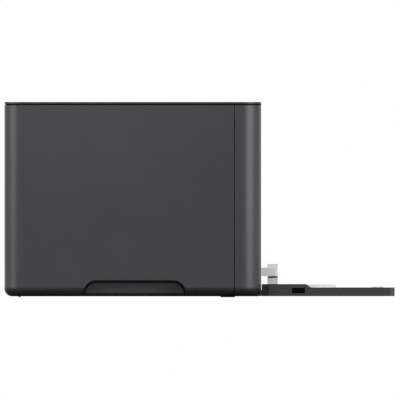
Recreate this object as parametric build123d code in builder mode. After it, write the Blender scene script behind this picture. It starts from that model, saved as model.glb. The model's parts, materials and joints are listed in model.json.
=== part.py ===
from build123d import *
import os
from math import atan2, cos, hypot, pi, radians, sin, sqrt

# A compact desktop laser printer with its front input tray folded open.
# Millimetres, +Z up, front towards -Y, origin on the desk under the middle of the body.

os.makedirs("parts", exist_ok=True)

# Overall size of the body, and how far the open tray reaches past its front face
width = 356.0
depth = 280.0
height = 213.0
tray_reach = 145.6

# Skin of the body
foot_height = 1.0
wall = 2.5
front_corner = 24.0
rear_corner = 18.7
bottom_round = 8.5
top_plate = 1.8
top_seam = 1.8
seam_recess = 0.8
front_frame_depth = 29.1
cover_gap = 0.6
cover_return = 23.3
skirt_wall = 2.0
skirt_drop = 11.0

# Clearances
running = 0.06
gap = 0.5
seat = 0.1

# Hand-hold in the lower edge of each side cover
grip_middle = -2.0
grip_top = 17.5
grip_top_half = 52.4
grip_flare = 0.24
grip_corner = 10.5
grip_depth = 20.5
grip_wall = 2.0

# Feet
foot_radius = 7.9
foot_recess = 1.0
foot_x = 134.0
foot_back = 36.5
skid_back = 16.5
skid_width = 2.2
skid_length = 20.0

# Screws: the rear ones hold the rear cover to the inner frames, the floor ones the frames to the base
screw_head = 3.2
screw_head_thick = 1.4
screw_sunk = 0.3
screw_shank = 1.5
screw_head_sides = 16
screw_shank_sides = 6
screw_x = 126.5
rear_screw_z = (12.0, 194.0)
floor_screw_y = (-80.0, 80.0)
boss_half = 4.0

# Input tray
tray_half = 150.0
tray_wall = 2.2
tray_skin = 1.8
tray_clear = 1.2
tray_pivot_back = 2.6
tray_pivot_z = 3.87
nose_radius = 2.6
nose_half = 137.5
arm_width = 7.0
arm_height = 4.0
lug_width = 4.8
stub_radius = 1.3
tray_start = 8.0
tray_high = 13.2
tray_low = 9.5
tray_step = 48.9
tray_step_run = 5.4
tray_slot = (33.6, 47.8)
tray_slot_z = (4.4, 10.3)
tray_rim_in = 10.0
tray_rim_thick = 2.0

# Paper guides and their racks
paper_half = 105.5
guide_travel = 66.0
guide_spare = 3.0
guide_wall = 2.0
guide_low_top = 13.9
guide_top = 36.3
guide_block = 11.2
guide_block_start = 6.9
guide_length = 75.0
guide_arm = (23.0, 32.2)
guide_arm_reach = 16.7
guide_arm_wide = 6.0
guide_block_wide = 6.5
guide_notch = (9.8, 1.5)
guide_notch_z = (21.2, 22.8)
rack_module = 1.5
rack_teeth = 12
rack_thick = 2.4
rack_back = 3.2
pinion_ahead = 25.0
end_guide_length = 13.6
end_guide_half = 20.0
end_guide_travel = 87.0

# Inner frames that carry the shafts
frame_x = 118.0
frame_plate = 2.5
frame_foot = 12.0
frame_tab_half = 7.0
frame_rear_gap = 16.0

# Lid over the toner, with the output bin
lid_left = 150.0
lid_right = 118.0
lid_front_drop = 18.0
bin_half = 113.0
bin_floor_z = 170.0
bin_flat = 32.0
bin_lip = 22.0
lid_skin = 2.0
hinge_y = 98.0
hinge_radius = 6.0
hinge_pin_radius = 2.0

# Paper path: the feed line, and the nips that lie on it
feed_y = 100.0
drum_radius = 12.0
drum_z = 108.0
pickup_at = (24.0, 36.0)
fuser_z = 158.0
gear_module = 1.25
gear_teeth = {"drum": 32, "registration": 26, "pressure": 24, "exit": 18, "pickup": 40}
idler_teeth = {"fuser": 20, "feed": 30}
motor_teeth = 12
gear_width = 6.0
nip = 0.3

# Places worked out from the sizes above
side_x = width / 2
front_y = -depth / 2
rear_y = depth / 2
skin_top = height - top_plate - top_seam
plate_bottom = height - top_plate
seam_y = front_y + front_frame_depth
rear_seam_x = side_x - cover_return
floor_top = foot_height + wall
tray_pivot = (front_y + tray_pivot_back, tray_pivot_z)
hinge_at = (hinge_y, height - hinge_radius)
frame_rear = rear_y - frame_rear_gap
skirt_bottom = skin_top - skirt_drop


def block(xs, ys, zs, mode=Mode.ADD):
    """Box between pairs of coordinates, in the piece being built."""
    sizes = [high - low for low, high in (xs, ys, zs)]
    middle = tuple((high + low) / 2 for low, high in (xs, ys, zs))
    with Locations(middle):
        Box(*sizes, mode=mode)


def rod(xs, at, radius, mode=Mode.ADD):
    """Cylinder along X round the point at = (y, z)."""
    with Locations(Location(((xs[0] + xs[1]) / 2, at[0], at[1]), (0, 90, 0))):
        Cylinder(radius, xs[1] - xs[0], mode=mode)


def profile(points, xs, mode=Mode.ADD):
    """Outline of (y, z) points, extruded along X."""
    with BuildSketch(Plane.YZ.offset(xs[0])) as outline:
        with BuildLine():
            Polyline(*points, close=True)
        make_face()
    extrude(outline.sketch, amount=xs[1] - xs[0], mode=mode)


def mirrored(xs):
    """The same stretch of X on the other side of the body."""
    return (-xs[1], -xs[0])


def sides(xs):
    """A stretch of X and its mirror image."""
    return (xs, mirrored(xs))


def about(middle, half):
    """Pair of coordinates half to each side of a middle."""
    return (middle - half, middle + half)


def casing_outline(inset, level):
    """Plan of the body drawn in from its faces by inset."""
    with BuildSketch(Plane.XY.offset(level)) as outline:
        Rectangle(width - 2 * inset, depth - 2 * inset)
        fillet(outline.vertices().group_by(Axis.Y)[0], front_corner - inset)
        fillet(outline.vertices().group_by(Axis.Y)[-1], rear_corner - inset)
    return outline.sketch


def prism(place, radius, count, length):
    """Regular prism that stands on a plane, added to the piece being built."""
    with BuildSketch(place) as outline:
        RegularPolygon(radius, count)
    extrude(outline.sketch, amount=length)


def screw_set(clear, sunk):
    """Rear and floor screws, their heads sunk below the faces and widened by a clearance."""
    head = screw_head_thick + screw_sunk - sunk
    with BuildPart() as made:
        for x in (-screw_x, screw_x):
            for z in rear_screw_z:
                place = Plane(origin=(x, rear_y - sunk, z), x_dir=(1, 0, 0), z_dir=(0, -1, 0))
                prism(place, screw_head + clear, screw_head_sides, head)
                prism(place, screw_shank, screw_shank_sides, frame_rear_gap + frame_plate - sunk)
            for y in floor_screw_y:
                place = Plane(origin=(x, y, foot_height + sunk))
                prism(place, screw_head + clear, screw_head_sides, head)
                prism(place, screw_shank, screw_shank_sides, wall + frame_plate - sunk)
    return made.part


# Skin of the body, which the covers are cut from

with BuildPart() as hollow:
    extrude(casing_outline(wall, floor_top), amount=height)
    chamfer(hollow.faces().sort_by(Axis.Z)[0].edges(), (2 - sqrt(2)) * (bottom_round - wall))

with BuildPart() as body_block:
    extrude(casing_outline(0, foot_height), amount=skin_top - foot_height)
    fillet(body_block.faces().sort_by(Axis.Z)[0].edges(), bottom_round)

with BuildPart() as casing:
    add(body_block.part)
    add(hollow.part, mode=Mode.SUBTRACT)


# Side covers with their hand-holds

def grip(xs, grow, mode):
    """Flared hand-hold outline, open at the bottom, along X."""
    rise = grip_top + grow - foot_height
    half = grip_top_half + grow
    with BuildSketch(Plane.YZ.offset(xs[0])) as outline:
        with BuildLine():
            Polyline(
                (grip_middle - half - grip_flare * rise, foot_height),
                (grip_middle - half, grip_top + grow),
                (grip_middle + half, grip_top + grow),
                (grip_middle + half + grip_flare * rise, foot_height),
                close=True,
            )
        make_face()
        fillet(outline.vertices().group_by(Axis.Y)[-1], grip_corner + grow)
    extrude(outline.sketch, amount=xs[1] - xs[0], mode=mode)


with BuildPart() as grip_pocket:
    add(body_block.part)
    grip((-side_x, -side_x + grip_depth + grip_wall), grip_wall, Mode.INTERSECT)

with BuildPart() as left_side_cover:
    add(casing.part)
    block((-side_x - 1, -rear_seam_x), (seam_y + cover_gap / 2, rear_y + 1), (0, height), Mode.INTERSECT)
    add(grip_pocket.part)
    grip((-side_x - 1, -side_x + grip_depth), 0, Mode.SUBTRACT)
left_side_cover.part.label = "left_side_cover"
export_step(left_side_cover.part, "parts/left_side_cover.step")

louvre_count = 9
louvre_size = (30.0, 2.4)
louvre_pitch = 5.5
louvre_at = (95.0, 130.0)

with BuildPart() as right_side_cover:
    mirror(left_side_cover.part, about=Plane.YZ)
    with BuildSketch(Plane.YZ.offset(side_x - 2 * wall)) as louvres:
        with Locations(louvre_at):
            with GridLocations(0, louvre_pitch, 1, louvre_count):
                Rectangle(*louvre_size)
    extrude(amount=3 * wall, mode=Mode.SUBTRACT)
right_side_cover.part.label = "right_side_cover"
export_step(right_side_cover.part, "parts/right_side_cover.step")


# Front frame: wraps the front corners and holds the recess that the tray closes into

door_half = tray_half + cover_gap
door_top = tray_pivot_z + tray_reach + tray_pivot_back + cover_gap
recess_back = front_y + tray_high + 2.6
recess_wall = 2.0
feed_slot_top = 45.0
base_half = rear_seam_x
nose_top = tray_pivot_z + nose_radius
lid_sill = height - lid_front_drop
frame_tongue = 6.0

with BuildPart() as seam_tongues:
    add(hollow.part)
    block(
        about(0, side_x), about(seam_y, frame_tongue), (floor_top, skirt_bottom - gap), Mode.INTERSECT
    )
    block(about(0, side_x - 2 * wall), about(seam_y, depth), (0, height), Mode.SUBTRACT)

with BuildPart() as front_frame:
    add(casing.part)
    block((-side_x - 1, side_x + 1), (front_y - 1, seam_y - cover_gap / 2), (0, height), Mode.INTERSECT)
    for xs in sides((door_half, door_half + recess_wall)):
        block(xs, (front_y + wall / 2, recess_back + recess_wall), (nose_top + gap, door_top + recess_wall))
    block(
        about(0, door_half + 1),
        (front_y + wall / 2, recess_back + recess_wall),
        (door_top, door_top + recess_wall),
    )
    block(about(0, door_half), (front_y - 1, recess_back), (0, door_top), Mode.SUBTRACT)
    block(about(0, door_half), (recess_back, seam_y + 1), (0, feed_slot_top), Mode.SUBTRACT)
    block(about(0, door_half + 1), (recess_back, recess_back + recess_wall), (feed_slot_top, door_top + 1))
    block(about(0, base_half), (front_y - 1, seam_y + 1), (0, nose_top + gap), Mode.SUBTRACT)
    block((-lid_left - gap, lid_right + gap), (front_y - 1, seam_y), (lid_sill - gap, height), Mode.SUBTRACT)
    add(seam_tongues.part)
front_frame.part.label = "front_frame"
export_step(front_frame.part, "parts/front_frame.step")


# Base frame: floor pan with the rounded nose that the tray turns round

arm_x = (nose_half + gap, nose_half + gap + arm_width)
lug_x = (arm_x[1] + gap, arm_x[1] + gap + lug_width)
base_rear = rear_y - bottom_round
lift_hinge = (front_y + 48.0, foot_height + 5.2)
lift_half = 104.0
lift_barrel = 1.7
lift_pin = 1.1
lift_lug = (lift_half + gap, lift_half + gap + 2.6)
rib_top = foot_height + 5.0
rib_places = (-60.0, -20.0, 20.0, 60.0)
channel_half = paper_half + guide_spare + 2.3
channel_top = 24.0

pickup_radius = drum_radius * gear_teeth["pickup"] / gear_teeth["drum"]
pad_angle = radians(60)
pad_half = 5.0
pad_thick = 2.0


def pad_point(along, out):
    """Point along the separation pad's face from its middle, and out from the pickup roller."""
    reach = pickup_radius + nip + out
    return (
        pickup_at[0] + reach * sin(pad_angle) + along * cos(pad_angle),
        pickup_at[1] - reach * cos(pad_angle) + along * sin(pad_angle),
    )


with BuildPart() as base_frame:
    block(about(0, base_half), (tray_pivot[0], base_rear), (foot_height, floor_top))
    rod(about(0, nose_half), tray_pivot, nose_radius)
    block(about(0, nose_half), (tray_pivot[0], tray_pivot[0] + 2 * nose_radius), (foot_height, nose_top - gap))
    for xs in sides(lug_x):
        rod(xs, tray_pivot, nose_radius)
        block(xs, (tray_pivot[0], tray_pivot[0] + 2 * nose_radius), (foot_height, nose_top))
        rod(xs, tray_pivot, stub_radius + running, Mode.SUBTRACT)
    for xs in sides((nose_half, lug_x[0])):
        block(xs, (front_y - 1, tray_pivot[0] + arm_height + gap), (0, 2 * nose_top), Mode.SUBTRACT)
    for x in rib_places:
        block(about(x, 1.0), (tray_pivot[0], lift_hinge[0] - 4), (floor_top, rib_top))
    for xs in sides((channel_half, channel_half + 1.5)):
        block(xs, (lift_hinge[0], pickup_at[0] + 22), (floor_top, channel_top))
    for xs in sides(lift_lug):
        rod(xs, lift_hinge, lift_barrel)
        block(xs, about(lift_hinge[0], lift_barrel), (floor_top, lift_hinge[1]))
        rod(xs, lift_hinge, lift_pin + running, Mode.SUBTRACT)
    profile(
        (
            pad_point(-pad_half, pad_thick),
            pad_point(pad_half + 2, pad_thick),
            pad_point(pad_half + 2, pad_thick + 3),
            (pickup_at[0] + 28, floor_top),
            (pickup_at[0] + 20, floor_top),
            (pickup_at[0] + 20, 18.0),
        ),
        about(0, 22.0),
    )
    for x in (-foot_x, foot_x):
        with Locations((x, front_y + foot_back, foot_height)):
            Cylinder(foot_radius + seat, 2 * foot_recess, mode=Mode.SUBTRACT)
        block(about(x, skid_length / 2), about(rear_y - skid_back, skid_width / 2), (0, foot_height))
    add(screw_set(seat, 0), mode=Mode.SUBTRACT)
base_frame.part.label = "base_frame"
export_step(base_frame.part, "parts/base_frame.step")

with BuildPart() as front_feet:
    with BuildSketch():
        with Locations((-foot_x, front_y + foot_back), (foot_x, front_y + foot_back)):
            Circle(foot_radius)
    extrude(amount=foot_height + foot_recess)
    chamfer(front_feet.faces().group_by(Axis.Z)[0].edges(), 0.4)
front_feet.part.label = "front_feet"
export_step(front_feet.part, "parts/front_feet.step")


# Rear cover with the opening for the rear door, the vent, the inlet and the sockets

rear_door_half = 100.0
rear_door_pivot = (rear_y - 2.0, 57.0)
rear_door_barrel = 2.0
rear_door_top = 184.0
rear_pin = 1.1
rear_lug = (rear_door_half + gap, rear_door_half + gap + 5.0)
fan_size = 30.0
fan_at = (-137.0, 150.0)
vent_slot = 2.5
inlet_at = (-137.0, 32.0)
inlet_size = (26.0, 19.0)
usb_at = (142.0, 36.0)
usb_size = (12.2, 11.0)
lan_at = (142.0, 58.0)
lan_size = (16.0, 13.5)

with BuildPart() as rear_cover:
    add(casing.part)
    block(about(0, rear_seam_x - cover_gap), (base_rear, rear_y + 1), (0, height), Mode.INTERSECT)
    block(
        about(0, rear_door_half + gap),
        (rear_y - 2 * wall, rear_y + 1),
        (rear_door_pivot[1] - rear_door_barrel - gap, rear_door_top + gap),
        Mode.SUBTRACT,
    )
    for x in (-screw_x, screw_x):
        for z in rear_screw_z:
            block(about(x, boss_half), (frame_rear, rear_y - wall / 2), about(z, boss_half))
    add(screw_set(seat, 0), mode=Mode.SUBTRACT)
    for xs in sides(rear_lug):
        block(xs, (rear_y - 3 * wall, rear_y - wall / 2), about(rear_door_pivot[1], 4.0))
        rod(xs, rear_door_pivot, rear_pin + running, Mode.SUBTRACT)
    with BuildSketch(Plane.XZ.offset(-rear_y - 1)) as rear_holes:
        with Locations(fan_at):
            with GridLocations(0, 2 * vent_slot, 1, 6):
                Rectangle(fan_size - 2, vent_slot)
        with Locations(inlet_at):
            Rectangle(inlet_size[0] + 2 * seat, inlet_size[1] + 2 * seat)
        with Locations(usb_at):
            Rectangle(usb_size[0] + 2 * seat, usb_size[1] + 2 * seat)
        with Locations(lan_at):
            Rectangle(lan_size[0] + 2 * seat, lan_size[1] + 2 * seat)
    extrude(amount=2 * wall + 1, mode=Mode.SUBTRACT)
rear_cover.part.label = "rear_cover"
export_step(rear_cover.part, "parts/rear_cover.step")

with BuildPart() as rear_door:
    rod(about(0, rear_door_half), rear_door_pivot, rear_door_barrel)
    block(about(0, rear_door_half), (rear_y - wall, rear_y), (rear_door_pivot[1], rear_door_top))
    for xs in sides((rear_door_half, rear_lug[1] - gap)):
        rod(xs, rear_door_pivot, rear_pin)
    for xs in sides((rear_door_half - 6, rear_door_half - 4)):
        block(xs, (rear_y - 12, rear_y - wall / 2), (rear_door_pivot[1] + 12, rear_door_top - 6))
    for x in range(-80, 81, 20):
        profile(
            (
                (rear_y - wall / 2, rear_door_pivot[1] + 12),
                (rear_y - 8, rear_door_pivot[1] + 20),
                (rear_y - 12, rear_door_top - 30),
                (rear_y - wall / 2, rear_door_top - 8),
            ),
            about(x, 0.8),
        )
    block(about(0, 20.0), (rear_y - 1.2, rear_y + 1), (rear_door_top - 9, rear_door_top + 1), Mode.SUBTRACT)
rear_door.part.label = "rear_door"
export_step(rear_door.part, "parts/rear_door.step")


# Top frame: the thin plate on the left and at the rear, with its skirts and the lid's lugs

lug_bottom = hinge_at[1] - 4.0
strip_front = hinge_y + 5.4
hinge_lug = (hinge_y - 7, hinge_y + 10)
left_lug = (-lid_left - 3.0, -lid_left - gap / 2)
right_lug = (lid_right + gap / 2, lid_right + 3.0)

with BuildPart() as skirt_ring:
    extrude(casing_outline(wall, skirt_bottom), amount=plate_bottom - skirt_bottom)
    extrude(casing_outline(seam_recess, skin_top + seat), amount=top_seam - seat)
    extrude(casing_outline(wall + skirt_wall, skirt_bottom), amount=height, mode=Mode.SUBTRACT)

with BuildPart() as top_frame:
    extrude(casing_outline(0, plate_bottom), amount=top_plate)
    add(skirt_ring.part)
    block((-lid_left, side_x + 1), (front_y - 1, strip_front), (0, height + 1), Mode.SUBTRACT)
    block((-lid_left - skirt_wall, -lid_left), (front_y + 6, hinge_y - 9), (lug_bottom, plate_bottom))
    for xs in (left_lug, right_lug):
        block(xs, hinge_lug, (lug_bottom, plate_bottom))
        rod(xs, hinge_at, hinge_pin_radius, Mode.SUBTRACT)
top_frame.part.label = "top_frame"
export_step(top_frame.part, "parts/top_frame.step")

hinge_pin_depth = 9.0

with BuildPart() as lid_hinge_pins:
    rod((left_lug[0] - 1, left_lug[1] + hinge_pin_depth), hinge_at, hinge_pin_radius)
    rod((right_lug[0] - hinge_pin_depth, right_lug[1] + 1), hinge_at, hinge_pin_radius)
lid_hinge_pins.part.label = "lid_hinge_pins"
export_step(lid_hinge_pins.part, "parts/lid_hinge_pins.step")


# Lid with the output bin moulded into it

lid_x = (-lid_left + gap / 2 + 0.1, lid_right - gap / 2 + 0.1)
bin_rear = hinge_y - hinge_radius + 0.5
bin_arc_start = bin_rear - bin_flat
bin_arc_end = front_y + bin_lip
bin_run = bin_arc_start - bin_arc_end
bin_rise = height - bin_floor_z
bin_radius = (bin_run**2 + bin_rise**2) / (2 * bin_rise)
stopper_barrel = 2.4
stopper_thick = 2.4
stopper_pivot = (front_y + 3.5, height - 0.2 - stopper_barrel)
stopper_half = 26.0
stopper_reach = 68.0
stopper_pin = 1.2
stopper_pocket = stopper_thick + 0.6
stopper_finger = 6.0


def bin_profile(drop, top, xs, mode):
    """Flat at the rear, then one long arc that rises to the lip at the front."""
    radius = bin_radius + drop
    half_turn = atan2(bin_run, bin_radius - bin_rise) / 2
    centre = (bin_arc_start, bin_floor_z + bin_radius)
    end = (bin_arc_start - radius * sin(2 * half_turn), centre[1] - radius * cos(2 * half_turn))
    middle = (bin_arc_start - radius * sin(half_turn), centre[1] - radius * cos(half_turn))
    start = (bin_arc_start, bin_floor_z - drop)
    with BuildSketch(Plane.YZ.offset(xs[0])) as outline:
        with BuildLine():
            Polyline(end, (end[0], top), (bin_rear, top), (bin_rear, start[1]), start)
            ThreePointArc(start, middle, end)
        make_face()
    extrude(outline.sketch, amount=xs[1] - xs[0], mode=mode)


pocket_rear = stopper_pivot[0] + stopper_reach + stopper_finger

with BuildPart() as stopper_bed:
    bin_profile(lid_skin + stopper_pocket, height, about(0, stopper_half + gap + lid_skin), Mode.ADD)
    block(
        about(0, side_x), (front_y, pocket_rear + lid_skin), (bin_floor_z - 9, plate_bottom), Mode.INTERSECT
    )

with BuildPart() as stopper_room:
    bin_profile(stopper_pocket, height + 1, about(0, stopper_half + gap), Mode.ADD)
    block(about(0, side_x), (front_y, pocket_rear), (0, height + 1), Mode.INTERSECT)

with BuildPart() as top_cover:
    block(lid_x, (front_y, hinge_y), (plate_bottom, height))
    bin_profile(lid_skin, height, about(0, bin_half + lid_skin), Mode.ADD)
    block(lid_x, (front_y, front_y + wall), (lid_sill, height))
    for xs in ((lid_x[0], lid_x[0] + lid_skin), (lid_x[1] - lid_skin, lid_x[1])):
        block(xs, (front_y + wall / 2, hinge_y - 12), (height - 8, plate_bottom))
    add(stopper_bed.part)
    bin_profile(0, height + 1, about(0, bin_half), Mode.SUBTRACT)
    add(stopper_room.part, mode=Mode.SUBTRACT)
    rod(lid_x, hinge_at, hinge_radius)
    block(
        about(0, stopper_half + gap + 5),
        (front_y, bin_arc_end),
        (stopper_pivot[1] - stopper_barrel - gap - lid_skin, plate_bottom),
    )
    block(
        about(0, stopper_half + gap),
        (front_y - 1, bin_arc_end + 1),
        (stopper_pivot[1] - stopper_barrel - gap, height + 1),
        Mode.SUBTRACT,
    )
    for xs in sides((stopper_half, stopper_half + 4)):
        rod(xs, stopper_pivot, stopper_pin + running, Mode.SUBTRACT)
    for xs in ((lid_x[0] - 1, lid_x[0] + hinge_pin_depth + 1), (lid_x[1] - hinge_pin_depth - 1, lid_x[1] + 1)):
        rod(xs, hinge_at, hinge_pin_radius + running, Mode.SUBTRACT)
top_cover.part.label = "top_cover"
export_step(top_cover.part, "parts/top_cover.step")

with BuildPart() as output_stopper:
    bin_profile(stopper_thick, height, about(0, stopper_half), Mode.ADD)
    bin_profile(0, height + 1, about(0, stopper_half), Mode.SUBTRACT)
    block(
        about(0, stopper_half),
        (bin_arc_end - 2, stopper_pivot[0] + stopper_reach),
        (bin_floor_z, height - 0.2),
        Mode.INTERSECT,
    )
    block(about(0, stopper_half), (stopper_pivot[0], bin_arc_end + 1), (height - 0.2 - stopper_thick, height - 0.2))
    rod(about(0, stopper_half), stopper_pivot, stopper_barrel)
    for xs in sides((stopper_half, stopper_half + 3)):
        rod(xs, stopper_pivot, stopper_pin)
output_stopper.part.label = "output_stopper"
export_step(output_stopper.part, "parts/output_stopper.step")


# Control panel: bezel, display and keys on the right-hand strip

panel_x = (lid_right + gap / 2, side_x)
panel_middle = (lid_right + side_x) / 2
panel_rear = strip_front - cover_gap
display_size = (46.0, 24.0)
display_y = -38.0
key_travel = 0.5
key_gap = 0.3
key_flange = 1.0
board_top = height - 8.4
board_x = (panel_x[0] + 4, side_x - 10)
board_y = (front_y + 16, 16.0)
# Middle of each key, its width and depth, and how much its corners are cut off
key_places = {
    "power_key": (160.0, 2.0, 11.0, 11.0, 3.2),
    "menu_key": (164.0, -80.0, 11.0, 11.0, 1.8),
    "back_key": (132.0, -80.0, 11.0, 11.0, 1.8),
    "ok_key": (148.0, -80.0, 12.0, 12.0, 3.5),
    "up_key": (148.0, -66.0, 14.0, 8.0, 1.8),
    "down_key": (148.0, -94.0, 14.0, 8.0, 1.8),
    "stop_key": (136.0, -111.0, 13.0, 13.0, 3.8),
    "start_key": (158.0, -111.0, 13.0, 13.0, 3.8),
}
key_stem_half = 2.0


def key_outline(name, level, grow):
    """Outline of a key, grown all round."""
    x, y, across, deep, corner = key_places[name]
    with BuildSketch(Plane.XY.offset(level)) as outline:
        with Locations((x, y)):
            Rectangle(across + 2 * grow, deep + 2 * grow)
        chamfer(outline.vertices(), corner + (2 - sqrt(2)) * grow)
    return outline.sketch


with BuildPart() as control_panel_bezel:
    extrude(casing_outline(0, plate_bottom), amount=top_plate)
    add(skirt_ring.part)
    block(panel_x, (front_y - 1, panel_rear), (0, height + 1), Mode.INTERSECT)
    block((panel_x[0], panel_x[0] + skirt_wall), (front_y + wall, hinge_y - 9), (lug_bottom, plate_bottom))
    for x in (board_x[0] + 3, board_x[1] - 3):
        for y in (board_y[0] + 3, board_y[1] - 3):
            block(about(x, 2.0), about(y, 2.0), (board_top, plate_bottom))
    block(
        about(panel_middle, display_size[0] / 2),
        about(display_y, display_size[1] / 2),
        (plate_bottom - 1, height + 1),
        Mode.SUBTRACT,
    )
    for name in key_places:
        extrude(key_outline(name, plate_bottom - 1, key_gap), amount=2 * top_plate, mode=Mode.SUBTRACT)
control_panel_bezel.part.label = "control_panel_bezel"
export_step(control_panel_bezel.part, "parts/control_panel_bezel.step")

with BuildPart() as lcd_window:
    block(
        about(panel_middle, display_size[0] / 2 - seat),
        about(display_y, display_size[1] / 2 - seat),
        (plate_bottom - 0.6, height - 0.2),
    )
lcd_window.part.label = "lcd_window"
export_step(lcd_window.part, "parts/lcd_window.step")

with BuildPart() as panel_board:
    block(board_x, board_y, (board_top - 1.6, board_top))
    block(
        about(panel_middle, display_size[0] / 2 + 2),
        about(display_y, display_size[1] / 2 + 2),
        (board_top, plate_bottom - 0.6),
    )
panel_board.part.label = "panel_board"
export_step(panel_board.part, "parts/panel_board.step")

key_bottom = plate_bottom - key_flange - seat

for name, (key_x, key_y, *shape) in key_places.items():
    with BuildPart() as key:
        extrude(key_outline(name, key_bottom, 0), amount=top_plate + key_flange)
        extrude(key_outline(name, key_bottom, key_flange), amount=key_flange)
        block(
            about(key_x, key_stem_half), about(key_y, key_stem_half), (board_top + key_travel + seat, key_bottom)
        )
    key.part.label = name
    export_step(key.part, f"parts/{name}.step")


# Input tray, lying open in front of the body

tray_near = front_y - tray_start
tray_far = front_y - tray_reach
tray_bottom = tray_clear
skin_z = (tray_bottom, tray_bottom + tray_skin)
liner_z = (skin_z[1] + 3.0, skin_z[1] + 4.6)
rack_z = (skin_z[1] + 0.3, skin_z[1] + 0.3 + rack_thick)
rack_radius = rack_module * rack_teeth / 2
pinion_at = (0.0, front_y - pinion_ahead)
stud_radius = 2.5

with BuildPart() as input_tray:
    block(about(0, tray_half), (tray_far, tray_near), (tray_bottom, tray_bottom + tray_high))
    profile(
        (
            (front_y - tray_step, tray_bottom + tray_high),
            (front_y - tray_step - tray_step_run, tray_bottom + tray_low),
            (tray_far - 1, tray_bottom + tray_low),
            (tray_far - 1, tray_bottom + tray_high + 1),
            (front_y - tray_step, tray_bottom + tray_high + 1),
        ),
        about(0, tray_half + 1),
        Mode.SUBTRACT,
    )
    fillet(input_tray.edges().filter_by(Axis.Z).group_by(Axis.Y)[0], 6.0)
    block(
        about(0, tray_half - tray_wall),
        (tray_far + tray_wall, tray_near + 1),
        (skin_z[1], 2 * tray_high),
        Mode.SUBTRACT,
    )
    block(about(0, tray_half - tray_wall), (tray_near - tray_wall, tray_near), (skin_z[1], liner_z[0]))
    block(about(0, nose_half), (tray_near, front_y - 0.35), skin_z)
    for xs in sides(arm_x):
        rod(xs, tray_pivot, nose_radius)
        block(xs, (tray_near, tray_pivot[0]), (tray_bottom + 0.1, tray_pivot[1] + arm_height))
        block(xs, (tray_near, front_y - gap), (tray_bottom + 0.1, tray_bottom + tray_high))
    for xs in sides((arm_x[1] - 1, lug_x[1] - gap)):
        rod(xs, tray_pivot, stub_radius)
    block(
        about(0, tray_half + 1),
        (front_y - tray_slot[1], front_y - tray_slot[0]),
        tray_slot_z,
        Mode.SUBTRACT,
    )
    with Locations((pinion_at[0], pinion_at[1], skin_z[1])):
        Cylinder(stud_radius, rack_thick + 0.3, align=(Align.CENTER, Align.CENTER, Align.MIN))
    with Locations((0, tray_far - 12, 0)):
        Cylinder(22.0, 60.0, mode=Mode.SUBTRACT)
input_tray.part.label = "input_tray"
export_step(input_tray.part, "parts/input_tray.step")

rack_root = rack_radius + 1.25 * rack_module
left_post = (pinion_at[1] - rack_root - rack_back, pinion_at[1] - rack_root)
right_post = (pinion_at[1] + rack_root, pinion_at[1] + rack_root + rack_back)
post_out = paper_half + 4.5
end_guide_face = front_y - tray_reach + 25.3
end_guide_far = end_guide_face - end_guide_length
end_foot = (end_guide_far + 0.4, end_guide_far + 4.4)

with BuildPart() as tray_floor:
    block(about(0, tray_half - tray_wall - seat), (tray_far + tray_wall + seat, tray_near), liner_z)
    for ys, way in ((left_post, -1), (right_post, 1)):
        reach = sorted((way * (paper_half - guide_travel - 1), way * (post_out + guide_spare + 1)))
        block(reach, (ys[0] - 0.3, ys[1] + 0.3), (0, height), Mode.SUBTRACT)
    block(about(0, 3.3), (end_foot[0] - 0.3, end_foot[1] + end_guide_travel + 0.3), (0, height), Mode.SUBTRACT)
    with Locations((0, tray_far - 12, 0)):
        Cylinder(24.0, 60.0, mode=Mode.SUBTRACT)
    for xs in sides((tray_half - tray_rim_in - tray_rim_thick, tray_half - tray_rim_in)):
        block(
            xs,
            (front_y - tray_step, tray_near - tray_wall - gap),
            (skin_z[1] + seat, tray_slot_z[1] + gap),
        )
tray_floor.part.label = "tray_floor"
export_step(tray_floor.part, "parts/tray_floor.step")


# Paper guides: each carries a rack, and one pinion between the racks keeps them centred

tooth_pitch = pi * rack_module
# One tooth: place along the pitch line as a share of the pitch, height in modules
tooth_shape = ((0.36, -1.25), (0.12, 1.0), (-0.12, 1.0), (-0.36, -1.25))


def gear_outline(teeth, module, phase=0.0):
    """Spur gear in plan, with one tooth centred on the angle phase, in radians."""
    points = []
    for index in range(teeth):
        for share, rise in tooth_shape:
            angle = phase - (index - share) * 2 * pi / teeth
            radius = teeth * module / 2 + rise * module
            points.append((radius * cos(angle), radius * sin(angle)))
    return points


def guide(way):
    """Guide on one side; way is -1 on the left and 1 on the right."""
    teeth = int((guide_travel + guide_spare) / tooth_pitch) + 4
    row = []
    for index in range(teeth):
        for share, rise in tooth_shape:
            along = (1.5 - index + share) * tooth_pitch
            row.append((-way * along, pinion_at[1] + way * (rack_radius - rise * rack_module)))
    root = row[0][1]
    back = root + way * rack_back
    outer = way * post_out
    wall_x = sorted((way * paper_half, way * (paper_half + guide_wall)))
    block_x = sorted((way * paper_half, way * (paper_half + guide_block_wide)))
    arm_x = sorted((way * (paper_half + guide_block_wide - 2), way * (paper_half + guide_block_wide + guide_arm_wide)))
    foot_x = sorted((way * paper_half, outer))
    notch_from = paper_half + guide_block_wide - guide_notch[1]
    notch_x = sorted((way * notch_from, way * (notch_from + 2 * guide_notch[1])))
    near = front_y - guide_block_start
    sole = (liner_z[1] + 0.3, liner_z[1] + 2.3)
    with BuildPart() as made:
        with BuildSketch(Plane.XY.offset(rack_z[0])):
            with BuildLine():
                Polyline(*row, (outer, root), (outer, back), (row[0][0], back), close=True)
            make_face()
        extrude(amount=rack_thick)
        block(foot_x, left_post if way < 0 else right_post, (rack_z[0], sole[1]))
        block(foot_x, (near - guide_length, near), sole)
        block(wall_x, (near - guide_length, near), (sole[0], guide_low_top))
        block(block_x, (near - guide_block, near), (sole[0], guide_top))
        block(arm_x, (front_y - guide_arm_reach, front_y - 0.2), guide_arm)
        block(notch_x, (near - guide_notch[0], near + 1), guide_notch_z, Mode.SUBTRACT)
    return made.part


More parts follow.
